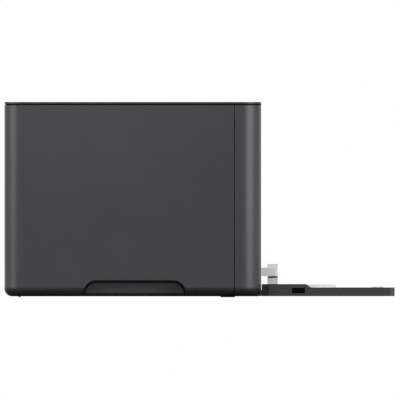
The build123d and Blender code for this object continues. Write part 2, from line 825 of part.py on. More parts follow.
with BuildPart() as left_paper_guide:
    add(guide(-1))
left_paper_guide.part.label = "left_paper_guide"
export_step(left_paper_guide.part, "parts/left_paper_guide.step")

with BuildPart() as right_paper_guide:
    add(guide(1))
right_paper_guide.part.label = "right_paper_guide"
export_step(right_paper_guide.part, "parts/right_paper_guide.step")


with BuildPart() as guide_pinion:
    with BuildSketch(Plane.XY.offset(rack_z[0])):
        with BuildLine():
            Polyline(*[(x, pinion_at[1] + y) for x, y in gear_outline(rack_teeth, rack_module)], close=True)
        make_face()
        with Locations(pinion_at):
            Circle(stud_radius + running, mode=Mode.SUBTRACT)
    extrude(amount=rack_thick)
guide_pinion.part.label = "guide_pinion"
export_step(guide_pinion.part, "parts/guide_pinion.step")

with BuildPart() as end_guide:
    profile(
        (
            (end_guide_face, liner_z[1] + 0.3),
            (end_guide_face, tray_bottom + 10.5),
            (end_guide_far + 1.5, tray_bottom + 10.5),
            (end_guide_far, tray_bottom + 9.5),
            (end_guide_far, liner_z[1] + 0.3),
        ),
        about(0, end_guide_half),
    )
    block(about(0, 3.0), end_foot, (liner_z[0] - 1.5, liner_z[1] + 0.5))
    block(about(0, 6.0), end_foot, (liner_z[0] - 1.5, liner_z[0] - 0.3))
end_guide.part.label = "end_guide"
export_step(end_guide.part, "parts/end_guide.step")


# Gear train: shaft places, worked out so that each pair of gears meets on its pitch circles

gear_x = (frame_x + frame_plate + 1.5, frame_x + frame_plate + 1.5 + gear_width)
mesh_slack = 0.1


def pitch_radius(teeth):
    """Pitch radius of a drive gear."""
    return teeth * gear_module / 2


def centres(first, second):
    """Distance between the shafts of two meshed drive gears."""
    return pitch_radius(first) + pitch_radius(second) + mesh_slack


def straight_above(start, reach, y):
    """Point on the line y at a distance from start, above it where reach is positive."""
    return (y, start[1] + (1 if reach > 0 else -1) * sqrt(reach**2 - (y - start[0]) ** 2))


def between(first, first_reach, second, second_reach):
    """Point at given distances from two others, on the left of the way from first to second."""
    run = (second[0] - first[0], second[1] - first[1])
    span = hypot(*run)
    along = (first_reach**2 - second_reach**2 + span**2) / (2 * span)
    across = sqrt(first_reach**2 - along**2)
    return (
        first[0] + (along * run[0] - across * run[1]) / span,
        first[1] + (along * run[1] + across * run[0]) / span,
    )


def mesh_phase(driver, driver_teeth, driver_phase, at, teeth):
    """Angle of a tooth of the gear at a place, so that it meets its driver in mesh."""
    toward = atan2(at[1] - driver[1], at[0] - driver[0])
    return toward + pi - driver_teeth / teeth * (driver_phase - toward) - pi / teeth


drum_gear_teeth = gear_teeth["drum"]
roller_radius = {name: drum_radius * gear_teeth[name] / drum_gear_teeth for name in gear_teeth}
transfer_radius = 7.0
heat_radius = roller_radius["pressure"]
idler_roller_radius = 6.0
drum_at = (feed_y - drum_radius, drum_z)
transfer_at = (feed_y + transfer_radius + nip, drum_z)
registration_at = straight_above(
    drum_at, -centres(drum_gear_teeth, gear_teeth["registration"]), feed_y - roller_radius["registration"]
)
registration_idler_at = (feed_y + idler_roller_radius + nip, registration_at[1])
pressure_at = (feed_y + roller_radius["pressure"] + nip, fuser_z)
heat_at = (feed_y - heat_radius, fuser_z)
exit_at = straight_above(pressure_at, centres(gear_teeth["pressure"], gear_teeth["exit"]), hinge_y + 9.0)
exit_idler_at = (exit_at[0], exit_at[1] + roller_radius["exit"] + idler_roller_radius - 1 + nip)
fuser_idler_at = between(
    pressure_at,
    centres(gear_teeth["pressure"], idler_teeth["fuser"]),
    drum_at,
    centres(drum_gear_teeth, idler_teeth["fuser"]),
)
feed_idler_at = between(
    pickup_at,
    centres(gear_teeth["pickup"], idler_teeth["feed"]),
    registration_at,
    centres(gear_teeth["registration"], idler_teeth["feed"]),
)
motor_angle = radians(160)
motor_at = (
    drum_at[0] + centres(drum_gear_teeth, motor_teeth) * cos(motor_angle),
    drum_at[1] + centres(drum_gear_teeth, motor_teeth) * sin(motor_angle),
)
drum_phase = 0.0
motor_phase = mesh_phase(drum_at, drum_gear_teeth, drum_phase, motor_at, motor_teeth)
registration_phase = mesh_phase(
    drum_at, drum_gear_teeth, drum_phase, registration_at, gear_teeth["registration"]
)
fuser_idler_phase = mesh_phase(drum_at, drum_gear_teeth, drum_phase, fuser_idler_at, idler_teeth["fuser"])
pressure_phase = mesh_phase(
    fuser_idler_at, idler_teeth["fuser"], fuser_idler_phase, pressure_at, gear_teeth["pressure"]
)
exit_phase = mesh_phase(pressure_at, gear_teeth["pressure"], pressure_phase, exit_at, gear_teeth["exit"])
feed_idler_phase = mesh_phase(
    registration_at, gear_teeth["registration"], registration_phase, feed_idler_at, idler_teeth["feed"]
)
pickup_phase = mesh_phase(feed_idler_at, idler_teeth["feed"], feed_idler_phase, pickup_at, gear_teeth["pickup"])


def gear(at, teeth, phase, bore):
    """Drive gear in the plane of the gear train, added to the piece being built."""
    with BuildSketch(Plane.YZ.offset(gear_x[0])) as outline:
        with BuildLine():
            Polyline(*[(at[0] + y, at[1] + z) for y, z in gear_outline(teeth, gear_module, phase)], close=True)
        make_face()
        with Locations(at):
            Circle(bore, mode=Mode.SUBTRACT)
    extrude(outline.sketch, amount=gear_width)


# Inner frames, with the bores that the shafts run in

frame_front = front_y + 46.0
frame_top = skin_top - 12.0
shaft_radius = {
    "pickup": 4.0,
    "registration": 3.0,
    "registration_idler": 2.0,
    "drum": 3.0,
    "transfer": 2.5,
    "heat": 3.5,
    "pressure": 4.0,
    "exit": 2.5,
    "exit_idler": 1.5,
}
shaft_at = {
    "pickup": pickup_at,
    "registration": registration_at,
    "registration_idler": registration_idler_at,
    "drum": drum_at,
    "transfer": transfer_at,
    "heat": heat_at,
    "pressure": pressure_at,
    "exit": exit_at,
    "exit_idler": exit_idler_at,
}
frame_windows = (
    ((-60.0, 42.0), (-36.0, 42.0), (-36.0, 66.0), (-60.0, 62.0)),
    ((-64.0, 98.0), (-28.0, 98.0), (-28.0, 134.0), (-56.0, 134.0)),
    ((-4.0, 138.0), (24.0, 138.0), (24.0, 164.0), (-4.0, 164.0)),
)
left_plate = (-frame_x - frame_plate, -frame_x)
right_plate = (frame_x, frame_x + frame_plate)
shaft_reach = frame_x + frame_plate


def side_frame(xs, foot):
    """Pressed side plate with its foot flange, lightening holes and shaft bores."""
    with BuildPart() as made:
        profile(
            (
                (frame_front, floor_top),
                (frame_front, 60.0),
                (frame_front + 25, 155.0),
                (bin_arc_start, frame_top),
                (frame_rear - 14, frame_top + 2.8),
                (frame_rear, frame_top - 6),
                (frame_rear, floor_top),
            ),
            xs,
        )
        block(foot, (frame_front, frame_rear), (floor_top, floor_top + frame_plate))
        for z in rear_screw_z:
            tab_z = (max(z - frame_tab_half, floor_top), z + frame_tab_half)
            block(foot, (frame_rear - frame_plate, frame_rear), tab_z)
        add(screw_set(seat, 0), mode=Mode.SUBTRACT)
        for name in shaft_at:
            rod(xs, shaft_at[name], shaft_radius[name] + running, Mode.SUBTRACT)
        for window in frame_windows:
            profile(window, xs, Mode.SUBTRACT)
    return made.part


left_foot = (left_plate[0] - frame_foot, left_plate[0])
right_foot = (right_plate[1], right_plate[1] + frame_foot)

with BuildPart() as left_frame:
    add(side_frame(left_plate, left_foot))
left_frame.part.label = "left_frame"
export_step(left_frame.part, "parts/left_frame.step")

stud_reach = gear_x[1] + 1.5

with BuildPart() as right_frame:
    add(side_frame(right_plate, right_foot))
    for at in (fuser_idler_at, feed_idler_at):
        rod((right_plate[1], stud_reach), at, stud_radius)
right_frame.part.label = "right_frame"
export_step(right_frame.part, "parts/right_frame.step")


# Lift plate and its springs, pickup roller, separation pad and turn guide

lift_rear = pickup_at[0] + pickup_radius - 3.0
lift_thick = 1.4
lift_top = lift_hinge[1] + lift_barrel

with BuildPart() as lift_plate:
    block(about(0, lift_half), (lift_hinge[0], lift_rear), (lift_top - lift_thick, lift_top))
    rod(about(0, lift_half), lift_hinge, lift_barrel)
    for xs in sides((lift_half, lift_lug[1] - 0.3)):
        rod(xs, lift_hinge, lift_pin)
    block(about(0, 12.0), (lift_rear - 24, lift_rear + 1), (lift_top - 3, lift_top + 1), Mode.SUBTRACT)
lift_plate.part.label = "lift_plate"
export_step(lift_plate.part, "parts/lift_plate.step")

with BuildPart() as pickup_roller:
    rod((-shaft_reach, gear_x[1] + 1), pickup_at, shaft_radius["pickup"])
    rod(about(0, 22.0), pickup_at, pickup_radius)
    gear(pickup_at, gear_teeth["pickup"], pickup_phase, shaft_radius["pickup"] - 1)
pickup_roller.part.label = "pickup_roller"
export_step(pickup_roller.part, "parts/pickup_roller.step")

with BuildPart() as separation_pad:
    profile(
        (
            pad_point(-pad_half, 0),
            pad_point(pad_half, 0),
            pad_point(pad_half, pad_thick),
            pad_point(-pad_half, pad_thick),
        ),
        about(0, 18.0),
    )
separation_pad.part.label = "separation_pad"
export_step(separation_pad.part, "parts/separation_pad.step")

spring_radius = 6.0
spring_wall = 1.2
spring_sides = 12

with BuildPart() as lift_springs:
    with BuildSketch(Plane.XY.offset(floor_top)):
        with Locations((-60.0, pickup_at[0] - 10), (60.0, pickup_at[0] - 10)):
            RegularPolygon(spring_radius, spring_sides)
            RegularPolygon(spring_radius - spring_wall, spring_sides, mode=Mode.SUBTRACT)
    extrude(amount=lift_top - lift_thick - floor_top)
lift_springs.part.label = "lift_springs"
export_step(lift_springs.part, "parts/lift_springs.step")

turn_start = (pickup_at[0] + 32, 26.0)
turn_radius = feed_y + 4 - turn_start[0]
turn_wall = 2.0

with BuildPart() as turn_guide:
    with BuildSketch(Plane.YZ.offset(-paper_half - 7)) as turn_outline:
        with Locations((turn_start[0], turn_start[1] + turn_radius)):
            Circle(turn_radius + turn_wall)
            Circle(turn_radius, mode=Mode.SUBTRACT)
        with Locations((turn_start[0], turn_start[1] + turn_radius)):
            Rectangle(
                4 * turn_radius, 4 * turn_radius, align=(Align.MAX, Align.CENTER), mode=Mode.SUBTRACT
            )
            Rectangle(
                4 * turn_radius, 4 * turn_radius, align=(Align.CENTER, Align.MIN), mode=Mode.SUBTRACT
            )
    extrude(turn_outline.sketch, amount=2 * (paper_half + 7))
    for x in range(-80, 81, 40):
        profile(
            (
                (turn_start[0] + 4, floor_top),
                (turn_start[0] + 4, turn_start[1] + 1),
                (turn_start[0] + 25, turn_start[1] + 7),
                (turn_start[0] + 40, turn_start[1] + 20),
                (turn_start[0] + 50, floor_top),
            ),
            about(x, 1.0),
        )
    with BuildSketch(Plane.YZ.offset(-paper_half - 7)) as turn_clear:
        with Locations((turn_start[0], turn_start[1] + turn_radius)):
            Circle(turn_radius)
    extrude(turn_clear.sketch, amount=2 * (paper_half + 7), mode=Mode.SUBTRACT)
    rod(about(0, frame_x), registration_idler_at, idler_roller_radius + 1, Mode.SUBTRACT)
turn_guide.part.label = "turn_guide"
export_step(turn_guide.part, "parts/turn_guide.step")

with BuildPart() as registration_roller:
    rod((-shaft_reach, gear_x[1] + 1), registration_at, shaft_radius["registration"])
    rod(about(0, paper_half), registration_at, roller_radius["registration"])
    gear(registration_at, gear_teeth["registration"], registration_phase, shaft_radius["registration"] - 1)
registration_roller.part.label = "registration_roller"
export_step(registration_roller.part, "parts/registration_roller.step")

with BuildPart() as registration_idler:
    rod((-shaft_reach, shaft_reach), registration_idler_at, shaft_radius["registration_idler"])
    rod(about(0, paper_half), registration_idler_at, idler_roller_radius)
registration_idler.part.label = "registration_idler"
export_step(registration_idler.part, "parts/registration_idler.step")


# Imaging: toner cartridge, drum, transfer roller and laser scanner

cartridge_half = 112.0
cartridge_front = -62.0
cartridge_top = 157.0
beam_z = 100.0

with BuildPart() as toner_cartridge:
    profile(
        (
            (cartridge_front, beam_z + 16),
            (cartridge_front, cartridge_top - 9),
            (cartridge_front + 10, cartridge_top),
            (30.0, cartridge_top),
            (58.0, cartridge_top - 8),
            (drum_at[0] - 6, drum_at[1] + 20),
            (feed_y - 6, drum_at[1] + 15),
            (feed_y - 14, drum_at[1] + 4),
            (feed_y - 28, beam_z + 4),
            (20.0, beam_z + 4),
            (0.0, beam_z + 12),
        ),
        about(0, cartridge_half),
    )
    rod(about(0, cartridge_half + 1), drum_at, drum_radius + 2 * nip, Mode.SUBTRACT)
    for x in range(-90, 91, 15):
        block(about(x, 1.0), (cartridge_front + 14, 20.0), (cartridge_top, cartridge_top + 2))
    block(about(0, 30.0), (cartridge_front - 10, cartridge_front), (beam_z + 24, beam_z + 30))
    for xs in sides((cartridge_half, frame_x)):
        rod(xs, (30.0, beam_z + 30), 5.0)
toner_cartridge.part.label = "toner_cartridge"
export_step(toner_cartridge.part, "parts/toner_cartridge.step")

with BuildPart() as photo_drum:
    rod(about(0, 111.0), drum_at, drum_radius)
    rod((-shaft_reach, gear_x[1] + 1), drum_at, shaft_radius["drum"])
    gear(drum_at, drum_gear_teeth, drum_phase, shaft_radius["drum"] - 1)
photo_drum.part.label = "photo_drum"
export_step(photo_drum.part, "parts/photo_drum.step")

with BuildPart() as transfer_roller:
    rod(about(0, paper_half + 3), transfer_at, transfer_radius)
    rod((-shaft_reach, shaft_reach), transfer_at, shaft_radius["transfer"])
transfer_roller.part.label = "transfer_roller"
export_step(transfer_roller.part, "parts/transfer_roller.step")

scanner_half = 95.0
scanner_y = (front_y + 34.0, -14.0)
scanner_z = (66.0, beam_z + 2)
window_z = (beam_z - 8, beam_z - 1)

with BuildPart() as scanner_unit:
    block(about(0, scanner_half), scanner_y, scanner_z)
    chamfer(scanner_unit.edges().filter_by(Axis.Z), 16.0)
    block(about(0, scanner_half - 20), (scanner_y[1] - 1, scanner_y[1] + 1), window_z, Mode.SUBTRACT)
    for xs in sides((scanner_half, frame_x)):
        block(xs, (scanner_y[0] + 30, scanner_y[0] + 44), (scanner_z[0], scanner_z[0] + 3))
scanner_unit.part.label = "scanner_unit"
export_step(scanner_unit.part, "parts/scanner_unit.step")


# Fuser and exit

fuser_half = 114.0
fuser_plate = 1.5

with BuildPart() as fuser_frame:
    fuser_y = (heat_at[0] - heat_radius - 5, heat_at[0] - heat_radius - 5 + fuser_plate)
    block(about(0, fuser_half), fuser_y, (fuser_z - 15, fuser_z + 9))
    for xs in sides((fuser_half - fuser_plate, fuser_half)):
        block(xs, (fuser_y[0], pressure_at[0] + heat_radius), (fuser_z - 15, fuser_z + 9))
    for y in (heat_at[0], pressure_at[0]):
        block(about(0, fuser_half + 1), about(y, 5.5), (fuser_z - 5.5, fuser_z + 10), Mode.SUBTRACT)
    for xs in sides((fuser_half, frame_x)):
        block(xs, (fuser_y[0], fuser_y[0] + 8), (fuser_z - 15, fuser_z - 12))
fuser_frame.part.label = "fuser_frame"
export_step(fuser_frame.part, "parts/fuser_frame.step")

with BuildPart() as heat_roller:
    rod(about(0, fuser_half - 4), heat_at, heat_radius)
    rod((-shaft_reach, shaft_reach), heat_at, shaft_radius["heat"])
heat_roller.part.label = "heat_roller"
export_step(heat_roller.part, "parts/heat_roller.step")

with BuildPart() as pressure_roller:
    rod(about(0, fuser_half - 4), pressure_at, roller_radius["pressure"])
    rod((-shaft_reach, gear_x[1] + 1), pressure_at, shaft_radius["pressure"])
    gear(pressure_at, gear_teeth["pressure"], pressure_phase, shaft_radius["pressure"] - 1)
pressure_roller.part.label = "pressure_roller"
export_step(pressure_roller.part, "parts/pressure_roller.step")

exit_wall = (bin_rear + 1.0, bin_rear + 3.0)
exit_slot = (exit_at[1] + 1.5, exit_idler_at[1] - 1.5)

with BuildPart() as exit_guide:
    block(about(0, frame_x), exit_wall, (bin_floor_z - 0.5, height - 2 * hinge_radius - 1.5))
    block(about(0, paper_half + 4), (exit_wall[0] - 1, exit_wall[1] + 1), exit_slot, Mode.SUBTRACT)
exit_guide.part.label = "exit_guide"
export_step(exit_guide.part, "parts/exit_guide.step")

tyre_middles = (-60.0, 60.0)
tyre_half = 12.0

with BuildPart() as exit_rollers:
    rod((-shaft_reach, gear_x[1] + 1), exit_at, shaft_radius["exit"])
    for x in tyre_middles:
        rod(about(x, tyre_half), exit_at, roller_radius["exit"])
    gear(exit_at, gear_teeth["exit"], exit_phase, shaft_radius["exit"] - 1)
exit_rollers.part.label = "exit_rollers"
export_step(exit_rollers.part, "parts/exit_rollers.step")

with BuildPart() as exit_idlers:
    rod((-shaft_reach, shaft_reach), exit_idler_at, shaft_radius["exit_idler"])
    rod(about(0, paper_half), exit_idler_at, idler_roller_radius - 1)
exit_idlers.part.label = "exit_idlers"
export_step(exit_idlers.part, "parts/exit_idlers.step")


# Drive: motor on its bracket, pinion and idler gears

motor_half = 18.0
motor_corner = 5.0
motor_long = 19.0
motor_boss = 6.0
motor_shaft = 1.5
post_half = 2.2
bracket_x = (gear_x[1] + 2.5, gear_x[1] + 4.0)

with BuildPart() as drive_bracket:
    block(bracket_x, (motor_at[0] - 36, motor_at[0] + 20), (motor_at[1] - 26, motor_at[1] + 30))
    for y, z in ((-30.0, -20.0), (-30.0, 24.0), (14.0, 24.0)):
        block(
            (right_plate[1], bracket_x[0]), about(motor_at[0] + y, post_half), about(motor_at[1] + z, post_half)
        )
    rod(bracket_x, motor_at, motor_boss + seat, Mode.SUBTRACT)
drive_bracket.part.label = "drive_bracket"
export_step(drive_bracket.part, "parts/drive_bracket.step")

with BuildPart() as main_motor:
    block((bracket_x[1], bracket_x[1] + motor_long), about(motor_at[0], motor_half), about(motor_at[1], motor_half))
    chamfer(main_motor.edges().filter_by(Axis.X), motor_corner)
    rod((bracket_x[0], bracket_x[1]), motor_at, motor_boss)
main_motor.part.label = "main_motor"
export_step(main_motor.part, "parts/main_motor.step")

with BuildPart() as motor_pinion:
    gear(motor_at, motor_teeth, motor_phase, motor_shaft)
    rod((gear_x[0], bracket_x[0] - 0.2), motor_at, motor_shaft)
motor_pinion.part.label = "motor_pinion"
export_step(motor_pinion.part, "parts/motor_pinion.step")

with BuildPart() as fuser_idler_gear:
    gear(fuser_idler_at, idler_teeth["fuser"], fuser_idler_phase, stud_radius + running)
fuser_idler_gear.part.label = "fuser_idler_gear"
export_step(fuser_idler_gear.part, "parts/fuser_idler_gear.step")

with BuildPart() as feed_idler_gear:
    gear(feed_idler_at, idler_teeth["feed"], feed_idler_phase, stud_radius + running)
feed_idler_gear.part.label = "feed_idler_gear"
export_step(feed_idler_gear.part, "parts/feed_idler_gear.step")


# Electrics: power board with the mains inlet, main board with its sockets, fan

board_thick = 1.6
power_board_x = left_plate[0] - 10.0
main_board_x = side_x - 2 * wall - 14

with BuildPart() as power_board:
    outer = power_board_x - board_thick
    block((outer, power_board_x), (-70.0, 60.0), (floor_top + 26, 120.0))
    for ys, zs, deep in (
        ((-60.0, -38.0), (50.0, 74.0), 20.0),
        ((-25.0, 5.0), (46.0, 80.0), 24.0),
        ((20.0, 50.0), (84.0, 108.0), 14.0),
    ):
        block((outer - deep, outer), ys, zs)
    rod((outer - 22, outer), (36.0, 60.0), 9.0)
    for y in (-64.0, 54.0):
        block((power_board_x, left_plate[0]), about(y, post_half), about(floor_top + 32, post_half))
power_board.part.label = "power_board"
export_step(power_board.part, "parts/power_board.step")

with BuildPart() as mains_inlet:
    half = (inlet_size[0] / 2, inlet_size[1] / 2)
    block(about(inlet_at[0], half[0]), (rear_y - 24, rear_y - 0.5), about(inlet_at[1], half[1]))
    block(about(inlet_at[0], half[0] + 3), (rear_y - wall - 2, rear_y - wall), about(inlet_at[1], half[1] + 3))
    block(about(inlet_at[0], half[0] - 3), (rear_y - 18, rear_y), about(inlet_at[1], half[1] - 3), Mode.SUBTRACT)
    for x, z in ((-6.0, -1.5), (0.0, 1.5), (6.0, -1.5)):
        block(about(inlet_at[0] + x, 1.0), (rear_y - 19, rear_y - 6), about(inlet_at[1] + z, 2.0))
mains_inlet.part.label = "mains_inlet"
export_step(mains_inlet.part, "parts/mains_inlet.step")

with BuildPart() as main_board:
    block((main_board_x, main_board_x + board_thick), (-10.0, rear_y - 12), (floor_top + 16, 125.0))
    for ys, zs in (((20.0, 50.0), (60.0, 90.0)), ((60.0, 80.0), (90.0, 112.0)), ((0.0, 14.0), (96.0, 120.0))):
        block((main_board_x - 3, main_board_x), ys, zs)
    for y, z in ((-5.0, floor_top + 22), (-5.0, 120.0), (frame_rear - 8, floor_top + 22), (frame_rear - 8, 96.0)):
        block((right_plate[1], main_board_x), about(y, post_half), about(z, post_half))
main_board.part.label = "main_board"
export_step(main_board.part, "parts/main_board.step")


def socket(at, size, tongue):
    """Open-fronted socket shell with its tongue, facing the rear."""
    block(about(at[0], size[0] / 2), (rear_y - 16, rear_y - 0.4), about(at[1], size[1] / 2))
    block(
        about(at[0], size[0] / 2 - 1.2), (rear_y - 13, rear_y), about(at[1], size[1] / 2 - 1.2), Mode.SUBTRACT
    )
    block(about(at[0], tongue[0] / 2), (rear_y - 14, rear_y - 4), about(at[1], tongue[1] / 2))
    block((at[0] + size[0] / 2, main_board_x), (rear_y - 16, rear_y - 13), about(at[1], size[1] / 2))


with BuildPart() as usb_port:
    socket(usb_at, usb_size, (5.6, 3.2))
usb_port.part.label = "usb_port"
export_step(usb_port.part, "parts/usb_port.step")

with BuildPart() as lan_port:
    socket(lan_at, lan_size, (8.0, 1.6))
lan_port.part.label = "lan_port"
export_step(lan_port.part, "parts/lan_port.step")

fan_y = (rear_y - wall - 10.5, rear_y - wall)
fan_hub = 5.5
fan_rim = 1.5
fan_sides = 24

with BuildPart() as cooling_fan:
    with BuildSketch(Plane.XZ.offset(-fan_y[1])):
        with Locations(fan_at):
            Rectangle(fan_size, fan_size)
            RegularPolygon(fan_size / 2 - fan_rim, fan_sides, mode=Mode.SUBTRACT)
    extrude(amount=fan_y[1] - fan_y[0])
    with BuildSketch(Plane.XZ.offset(-fan_y[0] - 1.5)):
        with Locations(fan_at):
            RegularPolygon(fan_hub, fan_sides)
            Rectangle(fan_size - 2, 2.0)
            Rectangle(2.0, fan_size - 2)
    extrude(amount=1.5)
cooling_fan.part.label = "cooling_fan"
export_step(cooling_fan.part, "parts/cooling_fan.step")

blade_count = 7

with BuildPart() as fan_rotor:
    with BuildSketch(Plane.XZ.offset(-fan_y[1] + 0.5)):
        with Locations(fan_at):
            Circle(fan_hub)
            with PolarLocations(fan_hub - 1, blade_count):
                Rectangle(fan_size / 2 - fan_rim - fan_hub, 1.2, align=(Align.MIN, Align.CENTER))
    extrude(amount=fan_y[1] - fan_y[0] - 3.0)
fan_rotor.part.label = "fan_rotor"
export_step(fan_rotor.part, "parts/fan_rotor.step")


# Screws that hold the rear cover and the inner frames

with BuildPart() as cover_screws:
    add(screw_set(0, screw_sunk))
cover_screws.part.label = "cover_screws"
export_step(cover_screws.part, "parts/cover_screws.step")
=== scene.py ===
import bpy, bmesh, json, math
from mathutils import Matrix, Vector


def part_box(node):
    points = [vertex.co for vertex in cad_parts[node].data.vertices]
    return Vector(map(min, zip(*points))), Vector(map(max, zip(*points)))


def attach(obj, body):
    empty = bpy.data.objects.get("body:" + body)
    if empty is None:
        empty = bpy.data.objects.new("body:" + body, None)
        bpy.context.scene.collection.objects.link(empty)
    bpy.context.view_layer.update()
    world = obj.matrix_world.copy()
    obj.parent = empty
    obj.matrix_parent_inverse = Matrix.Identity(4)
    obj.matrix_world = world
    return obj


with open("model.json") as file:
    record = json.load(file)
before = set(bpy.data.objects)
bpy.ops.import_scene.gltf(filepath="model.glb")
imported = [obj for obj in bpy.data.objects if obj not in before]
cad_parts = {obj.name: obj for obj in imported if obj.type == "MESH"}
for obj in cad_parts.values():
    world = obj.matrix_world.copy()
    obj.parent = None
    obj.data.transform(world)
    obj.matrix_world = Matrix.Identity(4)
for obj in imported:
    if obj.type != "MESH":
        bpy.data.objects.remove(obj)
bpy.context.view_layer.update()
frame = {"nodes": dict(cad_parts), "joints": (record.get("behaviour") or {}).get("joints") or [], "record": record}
nodes = frame["nodes"]
scene = bpy.context.scene
print("frame loaded:", len(nodes), "nodes")


# Camera, square on to the printer's left side as in the photograph

photoView = {
    "width": 0.43624,  # metres across the 400 pixels
    "centreY": -0.07326,
    "centreZ": 0.10606,
    "distance": 3.0,
}
cameraData = bpy.data.cameras.new("photoCamera")
cameraData.type = "ORTHO"
cameraData.ortho_scale = photoView["width"]
cameraData.clip_end = 20
camera = bpy.data.objects.new("photoCamera", cameraData)
camera.location = (-photoView["distance"], photoView["centreY"], photoView["centreZ"])
camera.rotation_euler = (math.pi / 2, 0, -math.pi / 2)
scene.collection.objects.link(camera)
scene.camera = camera


# Shader helpers: a wire is a socket that takes part in Python expressions

class Wire:
    def __init__(self, finish, socket):
        self.finish = finish
        self.socket = socket

    def maths(self, kind, other=None, swapped=False):
        ends = [self] if other is None else [other, self] if swapped else [self, other]
        return self.finish.node("ShaderNodeMath", {"operation": kind}, dict(enumerate(ends)))

    def __add__(self, other):
        return self.maths("ADD", other)

    def __radd__(self, other):
        return self.maths("ADD", other)

    def __sub__(self, other):
        return self.maths("SUBTRACT", other)

    def __rsub__(self, other):
        return self.maths("SUBTRACT", other, True)

    def __mul__(self, other):
        return self.maths("MULTIPLY", other)

    def __rmul__(self, other):
        return self.maths("MULTIPLY", other)

    def __lt__(self, other):
        return self.maths("LESS_THAN", other)

    def __gt__(self, other):
        return self.maths("GREATER_THAN", other)

    def __abs__(self):
        return self.maths("ABSOLUTE")


class Finish:
    def __init__(self, name):
        self.material = bpy.data.materials.new(name)
        self.material.use_nodes = True
        self.tree = self.material.node_tree
        self.tree.nodes.clear()
        self.place = self.node("ShaderNodeTexCoord", out="Object")

    def node(self, kind, settings=None, inputs=None, out=0):
        made = self.tree.nodes.new(kind)
        for name, value in (settings or {}).items():
            if name == "stops":
                stops = made.color_ramp.elements
                while len(stops) < len(value):
                    stops.new(1.0)
                for stop, (at, level) in zip(stops, value):
                    stop.position = at
                    stop.color = grey(level)
            else:
                setattr(made, name, value)
        for name, value in (inputs or {}).items():
            if isinstance(value, Wire):
                self.tree.links.new(value.socket, made.inputs[name])
            else:
                made.inputs[name].default_value = value
        return Wire(self, made.outputs[out])

    def axes(self, vector=None):
        split = self.node("ShaderNodeSeparateXYZ", inputs={0: vector or self.place})
        outs = split.socket.node.outputs
        return [Wire(self, outs[index]) for index in range(3)]

    def noise(self, size, detail=2.0, stretch=(1, 1, 1)):  # size of a grain in metres
        scaled = self.node("ShaderNodeVectorMath", {"operation": "MULTIPLY"}, {0: self.place, 1: stretch})
        return self.node("ShaderNodeTexNoise", inputs={"Vector": scaled, "Scale": 1 / size, "Detail": detail})

    def blend(self, mask, first, second):  # colours
        return self.node("ShaderNodeMix", {"data_type": "RGBA"}, {0: mask, 6: first, 7: second}, out=2)

    def between(self, value, low, high):  # 1 between two values, 0 outside
        return (value > low) * (value < high)

    def reach(self, across, up, middle):  # distance from a line along one axis
        return self.node(
            "ShaderNodeVectorMath",
            {"operation": "LENGTH"},
            {0: self.node("ShaderNodeCombineXYZ", inputs={0: across - middle[0], 1: up - middle[1]})},
            out="Value",
        )

    def bump(self, height, depth, strength=1.0, normal=None):  # depth in metres
        inputs = {"Height": height, "Distance": depth, "Strength": strength}
        if normal:
            inputs["Normal"] = normal
        return self.node("ShaderNodeBump", inputs=inputs)

    def softEdges(self, radius):
        return self.node("ShaderNodeBevel", {"samples": 4}, {"Radius": radius})

    def within(self, ranges):  # 1 inside all of the ranges {axis: (low, high)}, in metres
        along = self.axes()
        mask = 1.0
        for axis, (low, high) in ranges.items():
            mask = self.between(along[axis], low, high) * mask
        return mask

    def largest(self, masks):  # the largest of several masks at each point
        mask = masks[0]
        for other in masks[1:]:
            mask = mask.maths("MAXIMUM", other)
        return mask

    def surface(self, dark=None, **sockets):  # dark is a mask of places that light hardly reaches
        names = {
            "colour": "Base Color",
            "roughness": "Roughness",
            "metallic": "Metallic",
            "normal": "Normal",
            "specular": "Specular IOR Level",
            "glow": "Emission Color",
            "glowStrength": "Emission Strength",
        }
        inputs = {names[key]: value for key, value in sockets.items()}
        shader = self.node("ShaderNodeBsdfPrincipled", inputs=inputs)
        if dark is not None:
            # painted shade: a near-black shader that the dark mask mixes in over the surface
            paintedLighting = {"Base Color": grey(0.002), "Roughness": 0.9, "Specular IOR Level": 0.0}
            paintedLighting = self.node("ShaderNodeBsdfPrincipled", inputs=paintedLighting)
            shader = self.node("ShaderNodeMixShader", inputs={0: dark, 1: shader, 2: paintedLighting})
        output = self.tree.nodes.new("ShaderNodeOutputMaterial")
        self.tree.links.new(shader.socket, output.inputs["Surface"])
        return self.material


def grey(level, blue=0.0):
    return (level, level, level * (1 + blue), 1)


# Moulded plastics, darkened in the narrow gaps and notches that hardly any light gets into

# Painted shade: these gaps, seams, the guide's notch under its arm and the tray's slots are painted near-black
shutLines = {  # each one's ranges along the axes
    "topGroove": {2: (0.20935, 0.21122)},
    "sideSeam": {1: (-0.11135, -0.11045), 2: (0.0, 0.2095)},
    "leftTongue": {0: (-0.17565, -0.1725), 1: (-0.1115, -0.104), 2: (0.0, 0.2095)},
    "rightTongue": {0: (0.1725, 0.17565), 1: (-0.1115, -0.104), 2: (0.0, 0.2095)},
    "guideNotch": {1: (-0.15805, -0.14835), 2: (0.02115, 0.02285)},
    "leftTraySlot": {0: (-0.1498, -0.137), 1: (-0.18785, -0.17355), 2: (0.00435, 0.01035)},
    "rightTraySlot": {0: (0.137, 0.1498), 1: (-0.18785, -0.17355), 2: (0.00435, 0.01035)},
}
handHold = {
    "middle": -0.002,  # along Y
    "half": 0.0524,  # at its top edge
    "top": 0.0175,
    "flare": 0.24,
    "corner": 0.0105,
    # painted shade: the rim is a dark line painted along the hand-hold's rounded edge, partly on the skin outside
    # it, and the foot a dark strip painted at the foot of its back wall
    "rim": (-0.0019, 0.0013),  # the dark line along its rounded edge, from inside it to outside
    "foot": 0.0043,  # dark strip at the foot of its back wall
    "slack": 0.0002,  # so that the pocket's own walls are in it
    "lip": 0.1762,  # the skin is outside this, the pocket inside
    "back": 0.1545,  # a little behind its back wall
}
